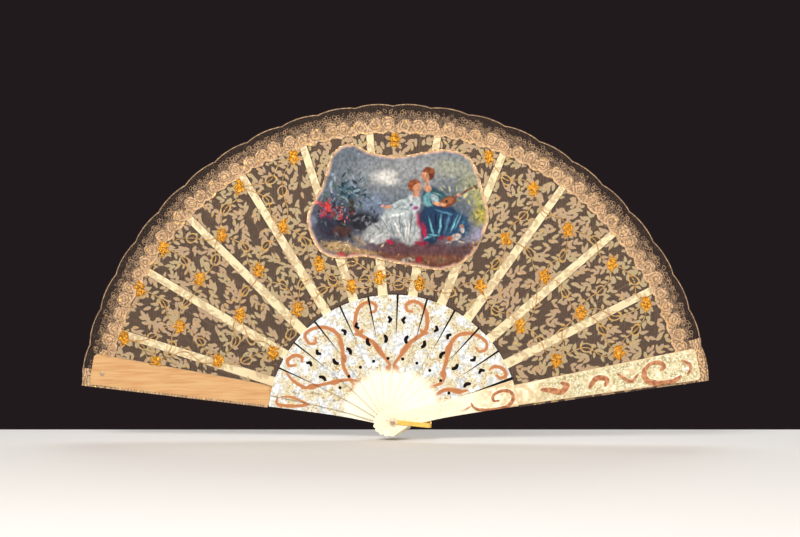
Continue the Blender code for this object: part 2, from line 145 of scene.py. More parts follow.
# Scrolls, each a list of points and its half width. The centre ones are mirrored to the left.
CENTRE_SCROLLS = (
    ([(5.6, 33.6), (3.2, 34.4), (1.6, 38), (2.4, 41), (6.3, 46), (12, 54), (17.6, 58), (22.8, 61.5),
      (25.2, 67.1), (24.6, 75.6), (20.4, 81.9), (14.8, 83.6), (10.8, 81.0), (11.3, 77.2), (14.8, 76.4)], 1.3),
    ([(1.6, 38), (3.6, 36.0)], 1.9),
    ([(6.3, 46), (9.6, 50.6), (12.6, 54.8)], 1.9),
    ([(20.4, 63.8), (22.4, 61.4), (25.4, 61.2)], 1.3),
)
RIGHT_SCROLLS = (
    ([(24.6, 22.8), (28.8, 24.9), (33.6, 26.9), (35.9, 31.2), (35.4, 36), (37.2, 41), (38, 47.4),
      (39.6, 53), (43, 58), (48.5, 61.3), (55.6, 61.2), (61, 59), (65.4, 55.0), (64.7, 50.2),
      (60.5, 48.9), (58, 51.6)], 1.2),
    ([(38.2, 46), (38.8, 50), (40.6, 54)], 2.1),
    ([(35.2, 31), (35.2, 35.4)], 1.8),
    ([(29.4, 16), (31.4, 19.4), (36, 22), (41, 22.0), (46, 20.8), (51.6, 21.8)], 1.3),
    ([(29.4, 16), (31.6, 14.6), (33.2, 16.6)], 1.2),
    ([(42, 21.8), (47.4, 20.8)], 1.9),
    ([(67.4, 36.2), (71.1, 38.4), (76.7, 36.9), (79, 32.6), (75.3, 30.4), (72, 32.4)], 1.2),
)
LEFT_SCROLLS = (
    ([(-30.3, 20.7), (-27.6, 24.4), (-31.6, 31), (-35.2, 39), (-35.4, 46), (-36.2, 54.5), (-40.1, 61.5),
      (-48.5, 65.4), (-57.6, 64.0), (-62, 59.6), (-59.4, 54.4), (-54.9, 54.2), (-54.6, 57.8)], 1.2),
    ([(-34.8, 41), (-34.4, 46)], 1.9),
    ([(-36, 52), (-37.4, 56)], 1.8),
    ([(-64.4, 41.2), (-64.6, 44.4), (-69.6, 45.4), (-74.2, 42.4), (-73.6, 38.4), (-69.6, 38.6)], 1.2),
    ([(-75.3, 33.3), (-71, 27.7), (-62.6, 22.8), (-56, 23.6), (-49.9, 24.9), (-38.7, 27.4), (-30.3, 28.4),
      (-23.6, 27), (-23.2, 29.6)], 1.1),
    ([(-60, 23), (-54, 24.2)], 1.9),
    ([(-44, 26), (-38, 27.4)], 1.8),
    ([(-82, 15.4), (-82.4, 11.4), (-77, 9.8), (-68, 9.6), (-60, 10.4)], 1.1),
    ([(-79, 16.4), (-72, 16.0), (-66, 13.6), (-60, 10.8)], 0.8),
)
GUARD_SCROLLS = (
    # (distance along the guard, offset towards its inner edge)
    ([(56, 2.5), (57.6, -1), (62, -3.2), (70, -4.6), (80, -4.2), (85.4, 0.4), (84.2, 5.4), (78.4, 7.2),
      (72.4, 5.4), (71.6, 1.6), (75.4, 0.8)], 0.95),
    ([(36, -1), (42, 1.4), (49, -1.2), (55, 0.6)], 0.7),
    ([(106, 3), (112, 1.2), (119, -1), (124, 2.4), (120.5, 5)], 1.5),
    ([(139, -2), (145, 3.4), (152, 1.6), (150, -2.6)], 1.4),
    ([(183, 6.6), (178.6, 2), (179.4, -4.4), (187, -8.2), (196, -8.6), (203, -6.2)], 1.5),
    ([(183, 6.6), (190, 6.2), (193, 3), (190, 1)], 1.1),
    ([(160, 4), (168, -3), (174, 1)], 0.9),
    ([(206, 5), (211, 0), (208, -6)], 0.9),
)


def polar(angle, reach):
    """The point at an angle in degrees from +X and a distance from the rivet."""
    return np.array((reach * cos(radians(angle)), reach * sin(radians(angle))))


def smooth_path(points, step=0.8):
    """A Catmull-Rom curve through points, about step millimetres between its own points."""
    p = np.asarray(points, float)
    if len(p) == 2:
        count = max(2, int(np.hypot(*(p[1] - p[0])) / step))
        return p[0] + (p[1] - p[0]) * np.linspace(0, 1, count)[:, None]
    ends = np.vstack((2 * p[0] - p[1], p, 2 * p[-1] - p[-2]))
    out = []
    for a, b, c, d in zip(ends, ends[1:], ends[2:], ends[3:]):
        count = max(2, int(np.hypot(*(c - b)) / step))
        t = np.linspace(0, 1, count, endpoint=False)[:, None]
        out.append(
            0.5 * (2 * b + (c - a) * t + (2 * a - 5 * b + 4 * c - d) * t**2 + (3 * b - a - 3 * c + d) * t**3)
        )
    return np.vstack(out + [p[-1:]])


def distance_to_paths(points, paths, taper=0.45):
    """Signed distance from points to strokes. Each path is (points, half width), thinner at its ends."""
    best = np.full(len(points), FAR)
    for path, half in paths:
        curve = smooth_path(path)
        share = np.linspace(0, 1, len(curve))
        widths = half * (taper + (1 - taper) * np.sin(pi * share) ** 0.5)
        near = np.all(
            (points > curve.min(0) - half - 3) & (points < curve.max(0) + half + 3), axis=1
        )
        if not near.any():
            continue
        some = points[near]
        reach = np.full(len(some), FAR)
        for centre, width in zip(curve, widths):
            reach = np.minimum(reach, np.hypot(*(some - centre).T) - width)
        best[near] = np.minimum(best[near], reach)
    return best


def noise(points, scale, seed=0):
    """Smooth value noise between 0 and 1. scale is the size of its features in millimetres."""
    table = np.random.default_rng(seed).random((256, 256))
    p = points / scale + 900
    cell = np.floor(p).astype(int)
    f = p - cell
    f = f * f * (3 - 2 * f)
    x0, z0 = cell[:, 0] % 256, cell[:, 1] % 256
    x1, z1 = (x0 + 1) % 256, (z0 + 1) % 256
    low = table[x0, z0] * (1 - f[:, 0]) + table[x1, z0] * f[:, 0]
    high = table[x0, z1] * (1 - f[:, 0]) + table[x1, z1] * f[:, 0]
    return low * (1 - f[:, 1]) + high * f[:, 1]


def smoothstep(low, high, value):
    """A soft step from 0 at low to 1 at high."""
    t = np.clip((value - low) / (high - low), 0, 1)
    return t * t * (3 - 2 * t)


def garlands():
    """Wavy cords between neighbouring flowers, and the small rings on them."""
    rng = np.random.default_rng(PATTERN_SEED)
    spots = [polar(*flower) for flower in GOLD_FLOWERS]
    cords, rings, done = [], [], set()
    for i, here in enumerate(spots):
        order = sorted(range(len(spots)), key=lambda j: np.hypot(*(spots[j] - here)))
        for j in order[1:4]:
            gap = spots[j] - here
            if (min(i, j), max(i, j)) in done or np.hypot(*gap) > LONGEST_CORD:
                continue
            done.add((min(i, j), max(i, j)))
            side = np.array((-gap[1], gap[0])) * rng.choice((-1, 1))
            middle = here + gap * 0.5 + side * rng.uniform(0.05, 0.16)
            first, last = here + gap * 0.25 + side * 0.10, here + gap * 0.76 - side * 0.03
            cords.append(smooth_path([here, first, middle, last, spots[j]]))
            turn = atan2(gap[1], gap[0]) + rng.uniform(-0.4, 0.4)
            rings.append((middle, turn, rng.uniform(3.4, 4.4), rng.uniform(2.3, 3.0)))
    return cords, rings


def leaflets(cords, rings):
    """Pointed lace leaves as rows of x, z, angle, half length and half width."""
    rng = np.random.default_rng(PATTERN_SEED + 1)
    rows = []
    for flower in GOLD_FLOWERS:
        centre = polar(*flower)
        for k in range(FLOWER_LEAVES):
            turn = 2 * pi * k / FLOWER_LEAVES + rng.uniform(-0.2, 0.2)
            away = FLOWER_LEAF_REACH * np.array((cos(turn), sin(turn)))
            rows.append((*(centre + away), turn, 2.7, 1.45))
    for cord in cords:
        for k in range(4, len(cord) - 4, 6):
            along = cord[k + 1] - cord[k - 1]
            turn = atan2(along[1], along[0])
            for side in (-1, 1):
                lean = turn + side * rng.uniform(0.7, 1.1)
                away = 2.9 * np.array((cos(lean), sin(lean)))
                rows.append((*(cord[k] + away), lean, rng.uniform(2.0, 2.9), rng.uniform(0.95, 1.3)))
    taken = [np.array(row[:2]) for row in rows[::2]]
    for _ in range(SPRIG_TRIES):
        spot = polar(rng.uniform(4, 177), LACE_REACH * np.sqrt(rng.uniform(0.15, 0.85)))
        near = np.array(taken)
        if np.min(np.hypot(*(near - spot).T)) < SPRIG_CLEARANCE:
            continue
        if any(np.hypot(*(spot - ring[0])) < ring[2] + RING_CLEARANCE for ring in rings):
            continue
        turn = atan2(spot[1], spot[0]) + rng.choice((-0.6, 0.7, 2.6)) + rng.uniform(-0.25, 0.25)
        stem = np.array((cos(turn), sin(turn)))
        for step, side in ((-2.6, 1), (-1.9, -1), (0.8, -1), (1.5, 1), (4.0, 0)):
            lean = side * rng.uniform(0.35, 0.8) + rng.uniform(-0.15, 0.15)
            length, width = rng.uniform(2.2, 3.4), rng.uniform(0.95, 1.35)
            side_way = turn + side * pi / 2
            centre = spot + step * stem + abs(side) * 1.7 * np.array((cos(side_way), sin(side_way)))
            if rng.random() < 0.85:
                rows.append((*centre, turn + lean, length, width))
        taken += [spot, spot + 3.4 * stem, spot - 2.8 * stem]
    return np.array(rows)


def leaf_field(points, rows):
    """Signed distance to the nearest lace leaf."""
    best = np.full(len(points), NO_PATTERN)
    low, high = points.min(0) - 4, points.max(0) + 4
    rows = rows[np.all((rows[:, :2] > low) & (rows[:, :2] < high), axis=1)]
    for x, z, turn, length, width in rows:
        dx, dz = points[:, 0] - x, points[:, 1] - z
        near = np.abs(dx) + np.abs(dz) < 7
        u = (dx[near] * cos(turn) + dz[near] * sin(turn)) / length
        v = (-dx[near] * sin(turn) + dz[near] * cos(turn)) / width
        lens = np.abs(v) - np.clip(1 - u * u, 0, 1) ** 0.8 * (1 - 0.25 * u)
        bulge = np.maximum(lens, np.abs(u) - 1)
        best[near] = np.minimum(best[near], bulge * width)
    return best


def ring_field(points, rings):
    """Signed distance to the nearest ring's area."""
    best = np.full(len(points), NO_PATTERN)
    for centre, turn, length, width in rings:
        dx, dz = (points - centre).T
        u = (dx * cos(turn) + dz * sin(turn)) / length
        v = (-dx * sin(turn) + dz * cos(turn)) / width
        best = np.minimum(best, (np.hypot(u, v) - 1) * width)
    return best


CORDS, RINGS = garlands()
LEAFLETS = leaflets(CORDS, RINGS)


# Meshes.


def new_piece(name, vertices, faces, attributes=None, smooth=True):
    """An object from vertices in millimetres. attributes maps a name to one value or colour per vertex."""
    mesh = bpy.data.meshes.new(name)
    mesh.from_pydata((np.asarray(vertices) * MM).tolist(), [], [list(map(int, f)) for f in faces])
    for label, values in (attributes or {}).items():
        values = np.asarray(values, np.float32)
        if values.ndim == 2:
            data = mesh.attributes.new(label, "FLOAT_COLOR", "POINT").data
            data.foreach_set("color", np.column_stack((values, np.ones(len(values)))).ravel())
        else:
            mesh.attributes.new(label, "FLOAT", "POINT").data.foreach_set("value", values)
    mesh.polygons.foreach_set("use_smooth", [smooth] * len(mesh.polygons))
    mesh.update()
    piece = bpy.data.objects.new(name, mesh)
    bpy.context.scene.collection.objects.link(piece)
    return piece


def finish_piece(piece, body, material):
    """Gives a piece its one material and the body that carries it."""
    piece.data.materials.clear()
    piece.data.materials.append(material)
    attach(piece, body)
    return piece


def grid_faces(rows, columns):
    """Faces of a grid, wound so that they face -Y where rows go outwards and columns anticlockwise."""
    a = np.arange(rows - 1)[:, None] * columns + np.arange(columns - 1)[None, :]
    a = a.ravel()
    return np.column_stack((a, a + columns, a + columns + 1, a + 1))


class Panel:
    """A leaf panel's place: its creases' angles at the inner and the outer arc, and its depth."""

    def __init__(self, node):
        v = node_vertices(node)
        reach = np.hypot(v[:, 0], v[:, 2])
        turn = np.degrees(np.arctan2(v[:, 2], v[:, 0]))
        self.node = node
        self.inner, self.outer = reach.min(), reach.max()
        low = turn[reach < self.inner + 0.5]
        high = turn[reach > self.outer - 0.5]
        self.inner_span = low.min(), low.max()
        self.outer_span = high.min(), high.max()
        self.front, self.back = v[:, 1].min(), v[:, 1].max()

    def side(self, which, share):
        """Points along one side, for shares of the way from the inner to the outer arc."""
        a = polar(self.inner_span[which], self.inner)
        b = polar(self.outer_span[which], self.outer)
        return a + (b - a) * np.asarray(share)[:, None]

    def grid(self, shares, columns, spill=0.0):
        """Angles and distances over the panel. spill widens it, in millimetres on each side."""
        right, left = self.side(0, shares), self.side(1, shares)
        reach = self.inner + (self.outer - self.inner) * np.asarray(shares)
        wide = np.degrees(spill / reach)
        start = np.degrees(np.arctan2(right[:, 1], right[:, 0])) - wide
        stop = np.degrees(np.arctan2(left[:, 1], left[:, 0])) + wide
        across = np.linspace(0, 1, columns)
        angles = start[:, None] + (stop - start)[:, None] * across[None, :]
        return angles, np.repeat(reach[:, None], columns, axis=1)

    def holds(self, points, margin=0.0):
        """Which points lie on the panel."""
        reach = np.hypot(*points.T)
        share = (reach - self.inner) / (self.outer - self.inner)
        right, left = self.side(0, share), self.side(1, share)
        turn = np.degrees(np.arctan2(points[:, 1], points[:, 0]))
        wide = np.degrees(margin / np.maximum(reach, 1))
        start = np.degrees(np.arctan2(right[:, 1], right[:, 0])) - wide
        stop = np.degrees(np.arctan2(left[:, 1], left[:, 0])) + wide
        return (turn >= start) & (turn < stop) & (share > -0.01) & (share < 1.005)


def leaf_panels():
    """Every leaf panel with the body that it rides on, from right to left."""
    out = []
    for layer in range(BACK_LAYER + 1):
        out.append((Panel(f"leaf_pleat_{layer:02d}"), body_of_layer(layer), layer, "pleat"))
        if layer < BACK_LAYER:
            name = f"leaf_fold_{layer + 1:02d}"
            out.append((Panel(name), name, layer, "fold"))
    return out


# Materials.


class Shader:
    """Short names for building one node tree."""

    def __init__(self, tree):
        self.tree = tree

    def node(self, kind, inputs=None, **settings):
        made = self.tree.nodes.new(kind)
        for key, value in settings.items():
            setattr(made, key, value)
        for key, value in (inputs or {}).items():
            socket = made.inputs[key]
            if isinstance(value, bpy.types.NodeSocket):
                self.tree.links.new(value, socket)
            else:
                socket.default_value = value
        return made

    def math(self, operation, a, b=0.0, c=0.0, clamp=False):
        inputs = {0: a, 1: b, 2: c}
        return self.node("ShaderNodeMath", inputs, operation=operation, use_clamp=clamp).outputs[0]

    def attribute(self, name):
        return self.node("ShaderNodeAttribute", attribute_name=name).outputs["Fac"]

    def attribute_colour(self, name):
        return self.node("ShaderNodeAttribute", attribute_name=name).outputs["Color"]

    def place(self):
        return self.node("ShaderNodeTexCoord").outputs["Object"]

    def ramp(self, value, low, high, to_low=0.0, to_high=1.0):
        inputs = {"Value": value, "From Min": low, "From Max": high, "To Min": to_low, "To Max": to_high}
        return self.node("ShaderNodeMapRange", inputs, interpolation_type="SMOOTHSTEP").outputs[0]

    def mix(self, share, a, b):
        made = self.node("ShaderNodeMix", data_type="RGBA")
        for index, value in ((0, share), (6, a), (7, b)):
            if isinstance(value, bpy.types.NodeSocket):
                self.tree.links.new(value, made.inputs[index])
            elif index:
                made.inputs[index].default_value = (*value, 1.0)
            else:
                made.inputs[index].default_value = value
        return made.outputs[2]

    def noise(self, scale, detail=2.0, place=None, roughness=0.5):
        inputs = {"Vector": place or self.place(), "Scale": scale, "Detail": detail, "Roughness": roughness}
        return self.node("ShaderNodeTexNoise", inputs).outputs["Fac"]

    def bump(self, height, distance, strength=1.0, under=None):
        inputs = {"Height": height, "Distance": distance, "Strength": strength}
        if under:
            inputs["Normal"] = under
        return self.node("ShaderNodeBump", inputs).outputs[0]


def new_material(name):
    """A material's Shader and its Principled node."""
    made = bpy.data.materials.new(name)
    made.use_nodes = True
    return made, Shader(made.node_tree), made.node_tree.nodes["Principled BSDF"]


def shared_group(name, make):
    """A node group by its name, made at its first use."""
    return bpy.data.node_groups.get(name) or make()


def glitter_group():
    """Tiny flakes: a mask of where they are, a random value for each, and a tilt for the normal."""
    tree = bpy.data.node_groups.new("Glitter", "ShaderNodeTree")
    for name, value in (("Scale", 1500.0), ("Amount", 0.5)):
        socket = tree.interface.new_socket(name, in_out="INPUT", socket_type="NodeSocketFloat")
        socket.default_value = value
    for name, kind in (("Mask", "Float"), ("Value", "Float"), ("Normal", "Vector")):
        tree.interface.new_socket(name, in_out="OUTPUT", socket_type=f"NodeSocket{kind}")
    s = Shader(tree)
    given = s.node("NodeGroupInput").outputs
    cell = s.node("ShaderNodeTexVoronoi", {"Vector": s.place(), "Scale": given["Scale"]})
    parts = s.node("ShaderNodeSeparateColor", {"Color": cell.outputs["Color"]}).outputs
    mask = s.math("LESS_THAN", parts[0], given["Amount"])
    colour = cell.outputs["Color"]
    spread = s.node("ShaderNodeVectorMath", {0: colour, 1: (0.5, 0.5, 0.5)}, operation="SUBTRACT")
    tilt = s.node("ShaderNodeVectorMath", {0: spread.outputs[0], "Scale": 1.1}, operation="SCALE")
    facing = s.node("ShaderNodeNewGeometry").outputs["Normal"]
    normal = s.node("ShaderNodeVectorMath", {0: facing, 1: tilt.outputs[0]}, operation="ADD")
    unit = s.node("ShaderNodeVectorMath", {0: normal.outputs[0]}, operation="NORMALIZE")
    s.node("NodeGroupOutput", {"Mask": mask, "Value": parts[1], "Normal": unit.outputs[0]})
    return tree


def glitter(s, scale, amount):
    """Places the glitter group in a material and returns its outputs."""
    made = s.node("ShaderNodeGroup", node_tree=shared_group("Glitter", glitter_group))
    made.inputs["Scale"].default_value = scale
    if isinstance(amount, bpy.types.NodeSocket):
        s.tree.links.new(amount, made.inputs["Amount"])
    else:
        made.inputs["Amount"].default_value = amount
    return made.outputs


def make_ivory(settings):
    """Polished ivory-coloured sticks, faintly stained."""
    made, s, shader = new_material("ivory_plain")
    grain = s.noise(260.0, 4.0)
    stain = s.noise(28.0, 3.0)
    light = s.mix(grain, tuple(0.94 * c for c in settings.ivory_colour), tuple(settings.ivory_colour))
    colour = s.mix(s.ramp(stain, 0.5, 0.8, 0.0, 0.35), light, (0.55, 0.32, 0.15))
    s.tree.links.new(colour, shader.inputs["Base Color"])
    shader.inputs["Roughness"].default_value = 0.34
    s.tree.links.new(s.bump(grain, 0.00003, 0.4), shader.inputs["Normal"])
    return made


def make_peach():
    """The back guard: bare peach-coloured inner face, ivory blade."""
    made, s, shader = new_material("guard_inner")
    along = s.node("ShaderNodeSeparateXYZ", {0: s.place()}).outputs
    reach = s.math("SQRT", s.math("ADD", s.math("POWER", along[0], 2.0), s.math("POWER", along[2], 2.0)))
    lie = {"Vector": s.place(), "Rotation": (0, radians(170), 0), "Scale": (1, 8, 14)}
    streaks = s.noise(45.0, 4.0, s.node("ShaderNodeMapping", lie).outputs[0], 0.6)
    peach = s.mix(s.ramp(streaks, 0.35, 0.7), (0.58, 0.35, 0.15), (0.49, 0.24, 0.09))
    colour = s.mix(s.ramp(reach, 0.0870, 0.0876), (0.84, 0.78, 0.62), peach)
    s.tree.links.new(colour, shader.inputs["Base Color"])
    shader.inputs["Roughness"].default_value = 0.4
    s.tree.links.new(s.bump(streaks, 0.00008, 0.4), shader.inputs["Normal"])
    return made


def make_blade_paint():
    """Silver-white painted blades with copper scrolls and patches of glitter, plain near the rivet."""
    made, s, shader = new_material("blade_paint")
    scroll = s.attribute("scroll")
    reach = s.attribute("reach")
    patches = s.noise(130.0, 2.0)
    feather = s.math("MULTIPLY_ADD", s.noise(260.0, 3.0), 3.0, -1.75)
    wobble = s.math("SUBTRACT", scroll, s.math("MAXIMUM", feather, -0.25))
    stroke = s.ramp(wobble, 0.25, -0.15)
    painted = s.ramp(s.math("MULTIPLY_ADD", s.noise(160.0, 2.0), 9.0, reach), 36.0, 44.0)
    silver = s.mix(s.ramp(s.noise(420.0, 4.0), 0.35, 0.65), (0.42, 0.45, 0.47), (0.80, 0.82, 0.83))
    ground = s.mix(s.ramp(patches, 0.42, 0.64), silver, (0.56, 0.51, 0.33))
    copper = s.mix(s.noise(500.0, 3.0), (0.36, 0.13, 0.04), (0.56, 0.26, 0.11))
    copper = s.mix(s.ramp(scroll, -0.3, -1.2), copper, (0.40, 0.15, 0.05))
    flakes = glitter(s, 1050.0, s.math("MULTIPLY", s.ramp(patches, 0.36, 0.58), 0.50))
    flake_colour = s.mix(flakes["Value"], (0.50, 0.32, 0.07), (1.0, 0.96, 0.80))
    plain = s.mix(s.noise(60.0, 3.0), (0.88, 0.80, 0.60), (0.93, 0.89, 0.76))
    colour = s.mix(flakes["Mask"], ground, flake_colour)
    colour = s.mix(stroke, colour, copper)
    colour = s.mix(painted, plain, colour)
    on_flake = s.math("MULTIPLY", flakes["Mask"], painted)
    on_flake = s.math("MULTIPLY", on_flake, s.math("SUBTRACT", 1.0, stroke))
    s.tree.links.new(colour, shader.inputs["Base Color"])
    s.tree.links.new(s.math("MULTIPLY", on_flake, 0.5), shader.inputs["Metallic"])
    s.tree.links.new(s.math("MULTIPLY_ADD", on_flake, -0.14, 0.36), shader.inputs["Roughness"])
    height = s.math("ADD", s.math("MULTIPLY", stroke, 0.8), s.math("MULTIPLY", s.noise(1500.0), 0.3))
    s.tree.links.new(s.bump(height, 0.00012, 0.7), shader.inputs["Normal"])
    return made


def make_guard_relief():
    """Carved guard face: ivory ground, rose-brown scrolls and patches of silver-green glitter, with painted
    shade that darkens the ground where the carving sits low.
    """
    made, s, shader = new_material("guard_relief")
    scroll = s.attribute("scroll")
    reach = s.attribute("reach")
    rough_scroll = s.math("MULTIPLY_ADD", s.noise(700.0, 2.0), 0.8, s.math("SUBTRACT", scroll, 0.4))
    stroke = s.ramp(rough_scroll, 0.3, -0.2)
    patches = s.noise(75.0, 2.0)
    zone = s.math("MULTIPLY", s.ramp(patches, 0.36, 0.48), s.ramp(reach, 92.0, 125.0, 0.15, 1.0))
    border = s.ramp(s.math("MULTIPLY_ADD", s.noise(500.0, 2.0), 1.0, s.attribute("edge")), 1.5, 1.0)
    zone = s.math("MULTIPLY", zone, s.math("SUBTRACT", 1.0, border))
    plain = s.ramp(reach, 56.0, 74.0, 1.0, 0.0)
    # This mask is 1 on raised parts and on the plain part near the rivet, and 0 where the carving sits low or
    # meets its rim; the low parts get painted shade.
    out_of_painted_shade = s.math("MAXIMUM", plain, s.ramp(s.attribute("height"), 0.05, 0.26))
    ivory = s.mix(s.noise(200.0, 3.0), (0.93, 0.86, 0.66), (0.88, 0.76, 0.52))
    # The darker green is painted shade in the low parts of the glittered patches.
    green = s.mix(out_of_painted_shade, (0.34, 0.28, 0.14), (0.56, 0.50, 0.29))
    flakes = glitter(s, 1200.0, s.math("MULTIPLY", zone, 0.5))
    brown = s.mix(s.ramp(s.noise(420.0, 3.0), 0.35, 0.65), (0.26, 0.08, 0.03), (0.50, 0.22, 0.09))
    # The tan is painted shade in the low parts of the ivory ground and along its rim.
    colour = s.mix(zone, s.mix(out_of_painted_shade, (0.62, 0.46, 0.26), ivory), green)
    colour = s.mix(flakes["Mask"], colour, s.mix(flakes["Value"], (0.60, 0.47, 0.18), (0.84, 0.83, 0.68)))
    shown = s.math("MULTIPLY", stroke, s.ramp(reach, 44.0, 56.0))
    colour = s.mix(shown, colour, brown)
    s.tree.links.new(colour, shader.inputs["Base Color"])
    metal = s.math("MULTIPLY", flakes["Mask"], s.math("SUBTRACT", 1.0, shown))
    s.tree.links.new(s.math("MULTIPLY", metal, 0.35), shader.inputs["Metallic"])
    shader.inputs["Roughness"].default_value = 0.34
    s.tree.links.new(s.bump(s.noise(1200.0, 3.0), 0.00015, 0.6), shader.inputs["Normal"])
    return made


def make_lace(settings):
    """Net with lace leaves, a dense peach trim and a fine edge. The holes are transparent."""
    made, s, shader = new_material("lace_leaf")
    parts = s.node("ShaderNodeSeparateXYZ", {0: s.place()}).outputs
    threads = None
    for turn in (0, 60, 120):
        across = s.math(
            "ADD",
            s.math("MULTIPLY", parts[0], cos(radians(turn)) / settings.net_pitch),
            s.math("MULTIPLY", parts[2], sin(radians(turn)) / settings.net_pitch),
        )
        line = s.ramp(s.math("PINGPONG", across, 0.5), 0.10, 0.04)
        threads = line if threads is None else s.math("MAXIMUM", threads, line)
    rough_edge = s.math("MULTIPLY_ADD", s.noise(900.0, 2.0), 0.7, -0.35)
    motif = s.ramp(s.math("ADD", s.attribute("motif"), rough_edge), 0.18, -0.10)
    loop = s.ramp(s.math("ABSOLUTE", s.attribute("ring")), 0.60, 0.30)
    trim_noise = s.noise(520.0, 3.0)
    rough_trim = s.math("MULTIPLY_ADD", trim_noise, 3.4, s.math("SUBTRACT", s.attribute("trim"), 1.7))
    trim = s.ramp(rough_trim, -0.3, 0.4)
    edge = s.ramp(s.math("ABSOLUTE", s.math("SUBTRACT", s.attribute("rim"), 0.6)), 0.50, 0.22)
    solid = s.math("MAXIMUM", s.math("MAXIMUM", motif, loop), edge)
    net = s.math("MULTIPLY", threads, s.ramp(s.attribute("rim"), 6.0, 9.0, 0.22, 0.74))
    weave = s.ramp(s.noise(2600.0, 1.0), 0.3, 0.6, 0.70, 0.95)
    alpha = s.math("MAXIMUM", net, s.math("MULTIPLY", solid, weave))
    over_rib = s.ramp(s.attribute("rib"), 2.4, 3.6, 0.45, 1.0)
    alpha = s.math("MULTIPLY", alpha, over_rib)
    shell = s.math("PINGPONG", s.math("MULTIPLY_ADD", s.noise(330.0, 3.0), 5.5, s.attribute("shell")), 1.1)
    hem = s.ramp(s.attribute("hem"), 0.9, 0.6)
    lines = s.math("MAXIMUM", hem, s.ramp(shell, 0.30, 0.75))
    holes = s.math("MULTIPLY_ADD", lines, 0.34, s.ramp(s.noise(700.0, 2.0), 0.36, 0.5, 0.36, 0.66))
    trim = s.math("MAXIMUM", trim, hem)
    alpha = s.math("MAXIMUM", alpha, s.math("MULTIPLY", trim, holes))
    alpha = s.math("MULTIPLY", alpha, s.ramp(s.attribute("rim"), 1.6, 1.3, 1.0, 0.7))
    alpha = s.math("MULTIPLY", alpha, s.ramp(s.attribute("bare"), -0.3, 0.1, 1.0, 0.0))
    cream = s.mix(s.ramp(s.noise(90.0, 2.0), 0.4, 0.6), (0.40, 0.31, 0.17), (0.41, 0.28, 0.17))
    dark, light = (tuple(share * c for c in settings.trim_colour) for share in (0.60, 1.12))
    # The trim's lines (its hem and shells) are the lace's own lighter threads. They turn light only where
    # trim_noise is high, and trim_noise also raises the ruffle's bump below, so this brightening is a painted
    # highlight on the ruffle's crests, with painted shade in its dips.
    peach = s.mix(s.math("MULTIPLY", lines, s.ramp(trim_noise, 0.3, 0.55)), dark, light)
    colour = s.mix(solid, (0.26, 0.17, 0.11), cream)
    colour = s.mix(s.math("MAXIMUM", trim, edge), colour, peach)
    faint = s.math("MAXIMUM", s.math("MULTIPLY", motif, 0.10), s.math("MULTIPLY", trim, 0.07))
    flakes = glitter(s, 1000.0, s.math("MULTIPLY", s.math("MAXIMUM", loop, faint), 0.45))
    colour = s.mix(flakes["Mask"], colour, (0.85, 0.48, 0.10))
    s.tree.links.new(colour, shader.inputs["Base Color"])
    s.tree.links.new(s.math("MULTIPLY", flakes["Mask"], 0.9), shader.inputs["Metallic"])
    s.tree.links.new(alpha, shader.inputs["Alpha"])
    s.tree.links.new(s.ramp(flakes["Mask"], 0.0, 1.0, 0.75, 0.3), shader.inputs["Roughness"])
    ruffled = s.math("MULTIPLY", trim_noise, s.math("MULTIPLY", trim, 2.5))
    height = s.math("ADD", s.math("MULTIPLY", solid, 0.6), ruffled)
    s.tree.links.new(s.bump(height, 0.0004, 0.8), shader.inputs["Normal"])
    return made


def make_trim_thread(settings):
    """The thread of the ruffle's loops."""
    made, s, shader = new_material("trim_thread")
    dark, light = (tuple(share * c for c in settings.trim_colour) for share in (0.70, 1.12))
    colour = s.mix(s.noise(180.0, 3.0), dark, light)
    s.tree.links.new(colour, shader.inputs["Base Color"])
    shader.inputs["Roughness"].default_value = 0.7
    return made


def make_glitter_metal(name, dark, light, scale):
    """Coarse metallic glitter glued on."""
    made, s, shader = new_material(name)
    flakes = glitter(s, scale, 1.0)
    s.tree.links.new(s.mix(flakes["Value"], dark, light), shader.inputs["Base Color"])
    s.tree.links.new(flakes["Normal"], shader.inputs["Normal"])
    shader.inputs["Metallic"].default_value = 0.9
    shader.inputs["Roughness"].default_value = 0.28
    return made


def make_metal(name, colour, roughness):
    """Slightly worn polished metal."""
    made, s, shader = new_material(name)
    worn = s.noise(900.0, 3.0)
    s.tree.links.new(s.mix(worn, tuple(0.8 * c for c in colour), colour), shader.inputs["Base Color"])
    shader.inputs["Metallic"].default_value = 1.0
    s.tree.links.new(s.ramp(worn, 0.3, 0.7, roughness, roughness + 0.15), shader.inputs["Roughness"])
    return made


def make_pearl():
    """Pearly shell, for the washers."""
    made, s, shader = new_material("pearl")
    swirl = s.noise(700.0, 2.0)
    s.tree.links.new(s.mix(swirl, (0.80, 0.78, 0.80), (0.88, 0.80, 0.70)), shader.inputs["Base Color"])
    shader.inputs["Roughness"].default_value = 0.2
    shader.inputs["Coat Weight"].default_value = 0.6
    return made


def make_silk():
    """The medallion's painted silk. Its picture is a colour attribute."""
    made, s, shader = new_material("painted_silk")
    strokes = s.node("ShaderNodeMapping", {"Vector": s.place(), "Scale": (1.0, 1.0, 0.45)})
    dab = s.noise(850.0, 3.0, strokes.outputs[0], 0.65)
    value = s.ramp(dab, 0.3, 0.7, 0.86, 1.12)
    shade = s.node("ShaderNodeHueSaturation", {"Color": s.attribute_colour("picture"), "Value": value})
    s.tree.links.new(shade.outputs[0], shader.inputs["Base Color"])
    shader.inputs["Roughness"].default_value = 0.5
    shader.inputs["Specular IOR Level"].default_value = 0.15
    s.tree.links.new(s.bump(s.noise(2500.0, 1.0), 0.00005, 0.5), shader.inputs["Normal"])
    return made


def make_floor():
    """Matt pale grey."""
    made, _, shader = new_material("floor")
    shader.inputs["Base Color"].default_value = (0.62, 0.60, 0.58, 1.0)
    shader.inputs["Roughness"].default_value = 0.8
    return made


# Geometry Nodes groups.


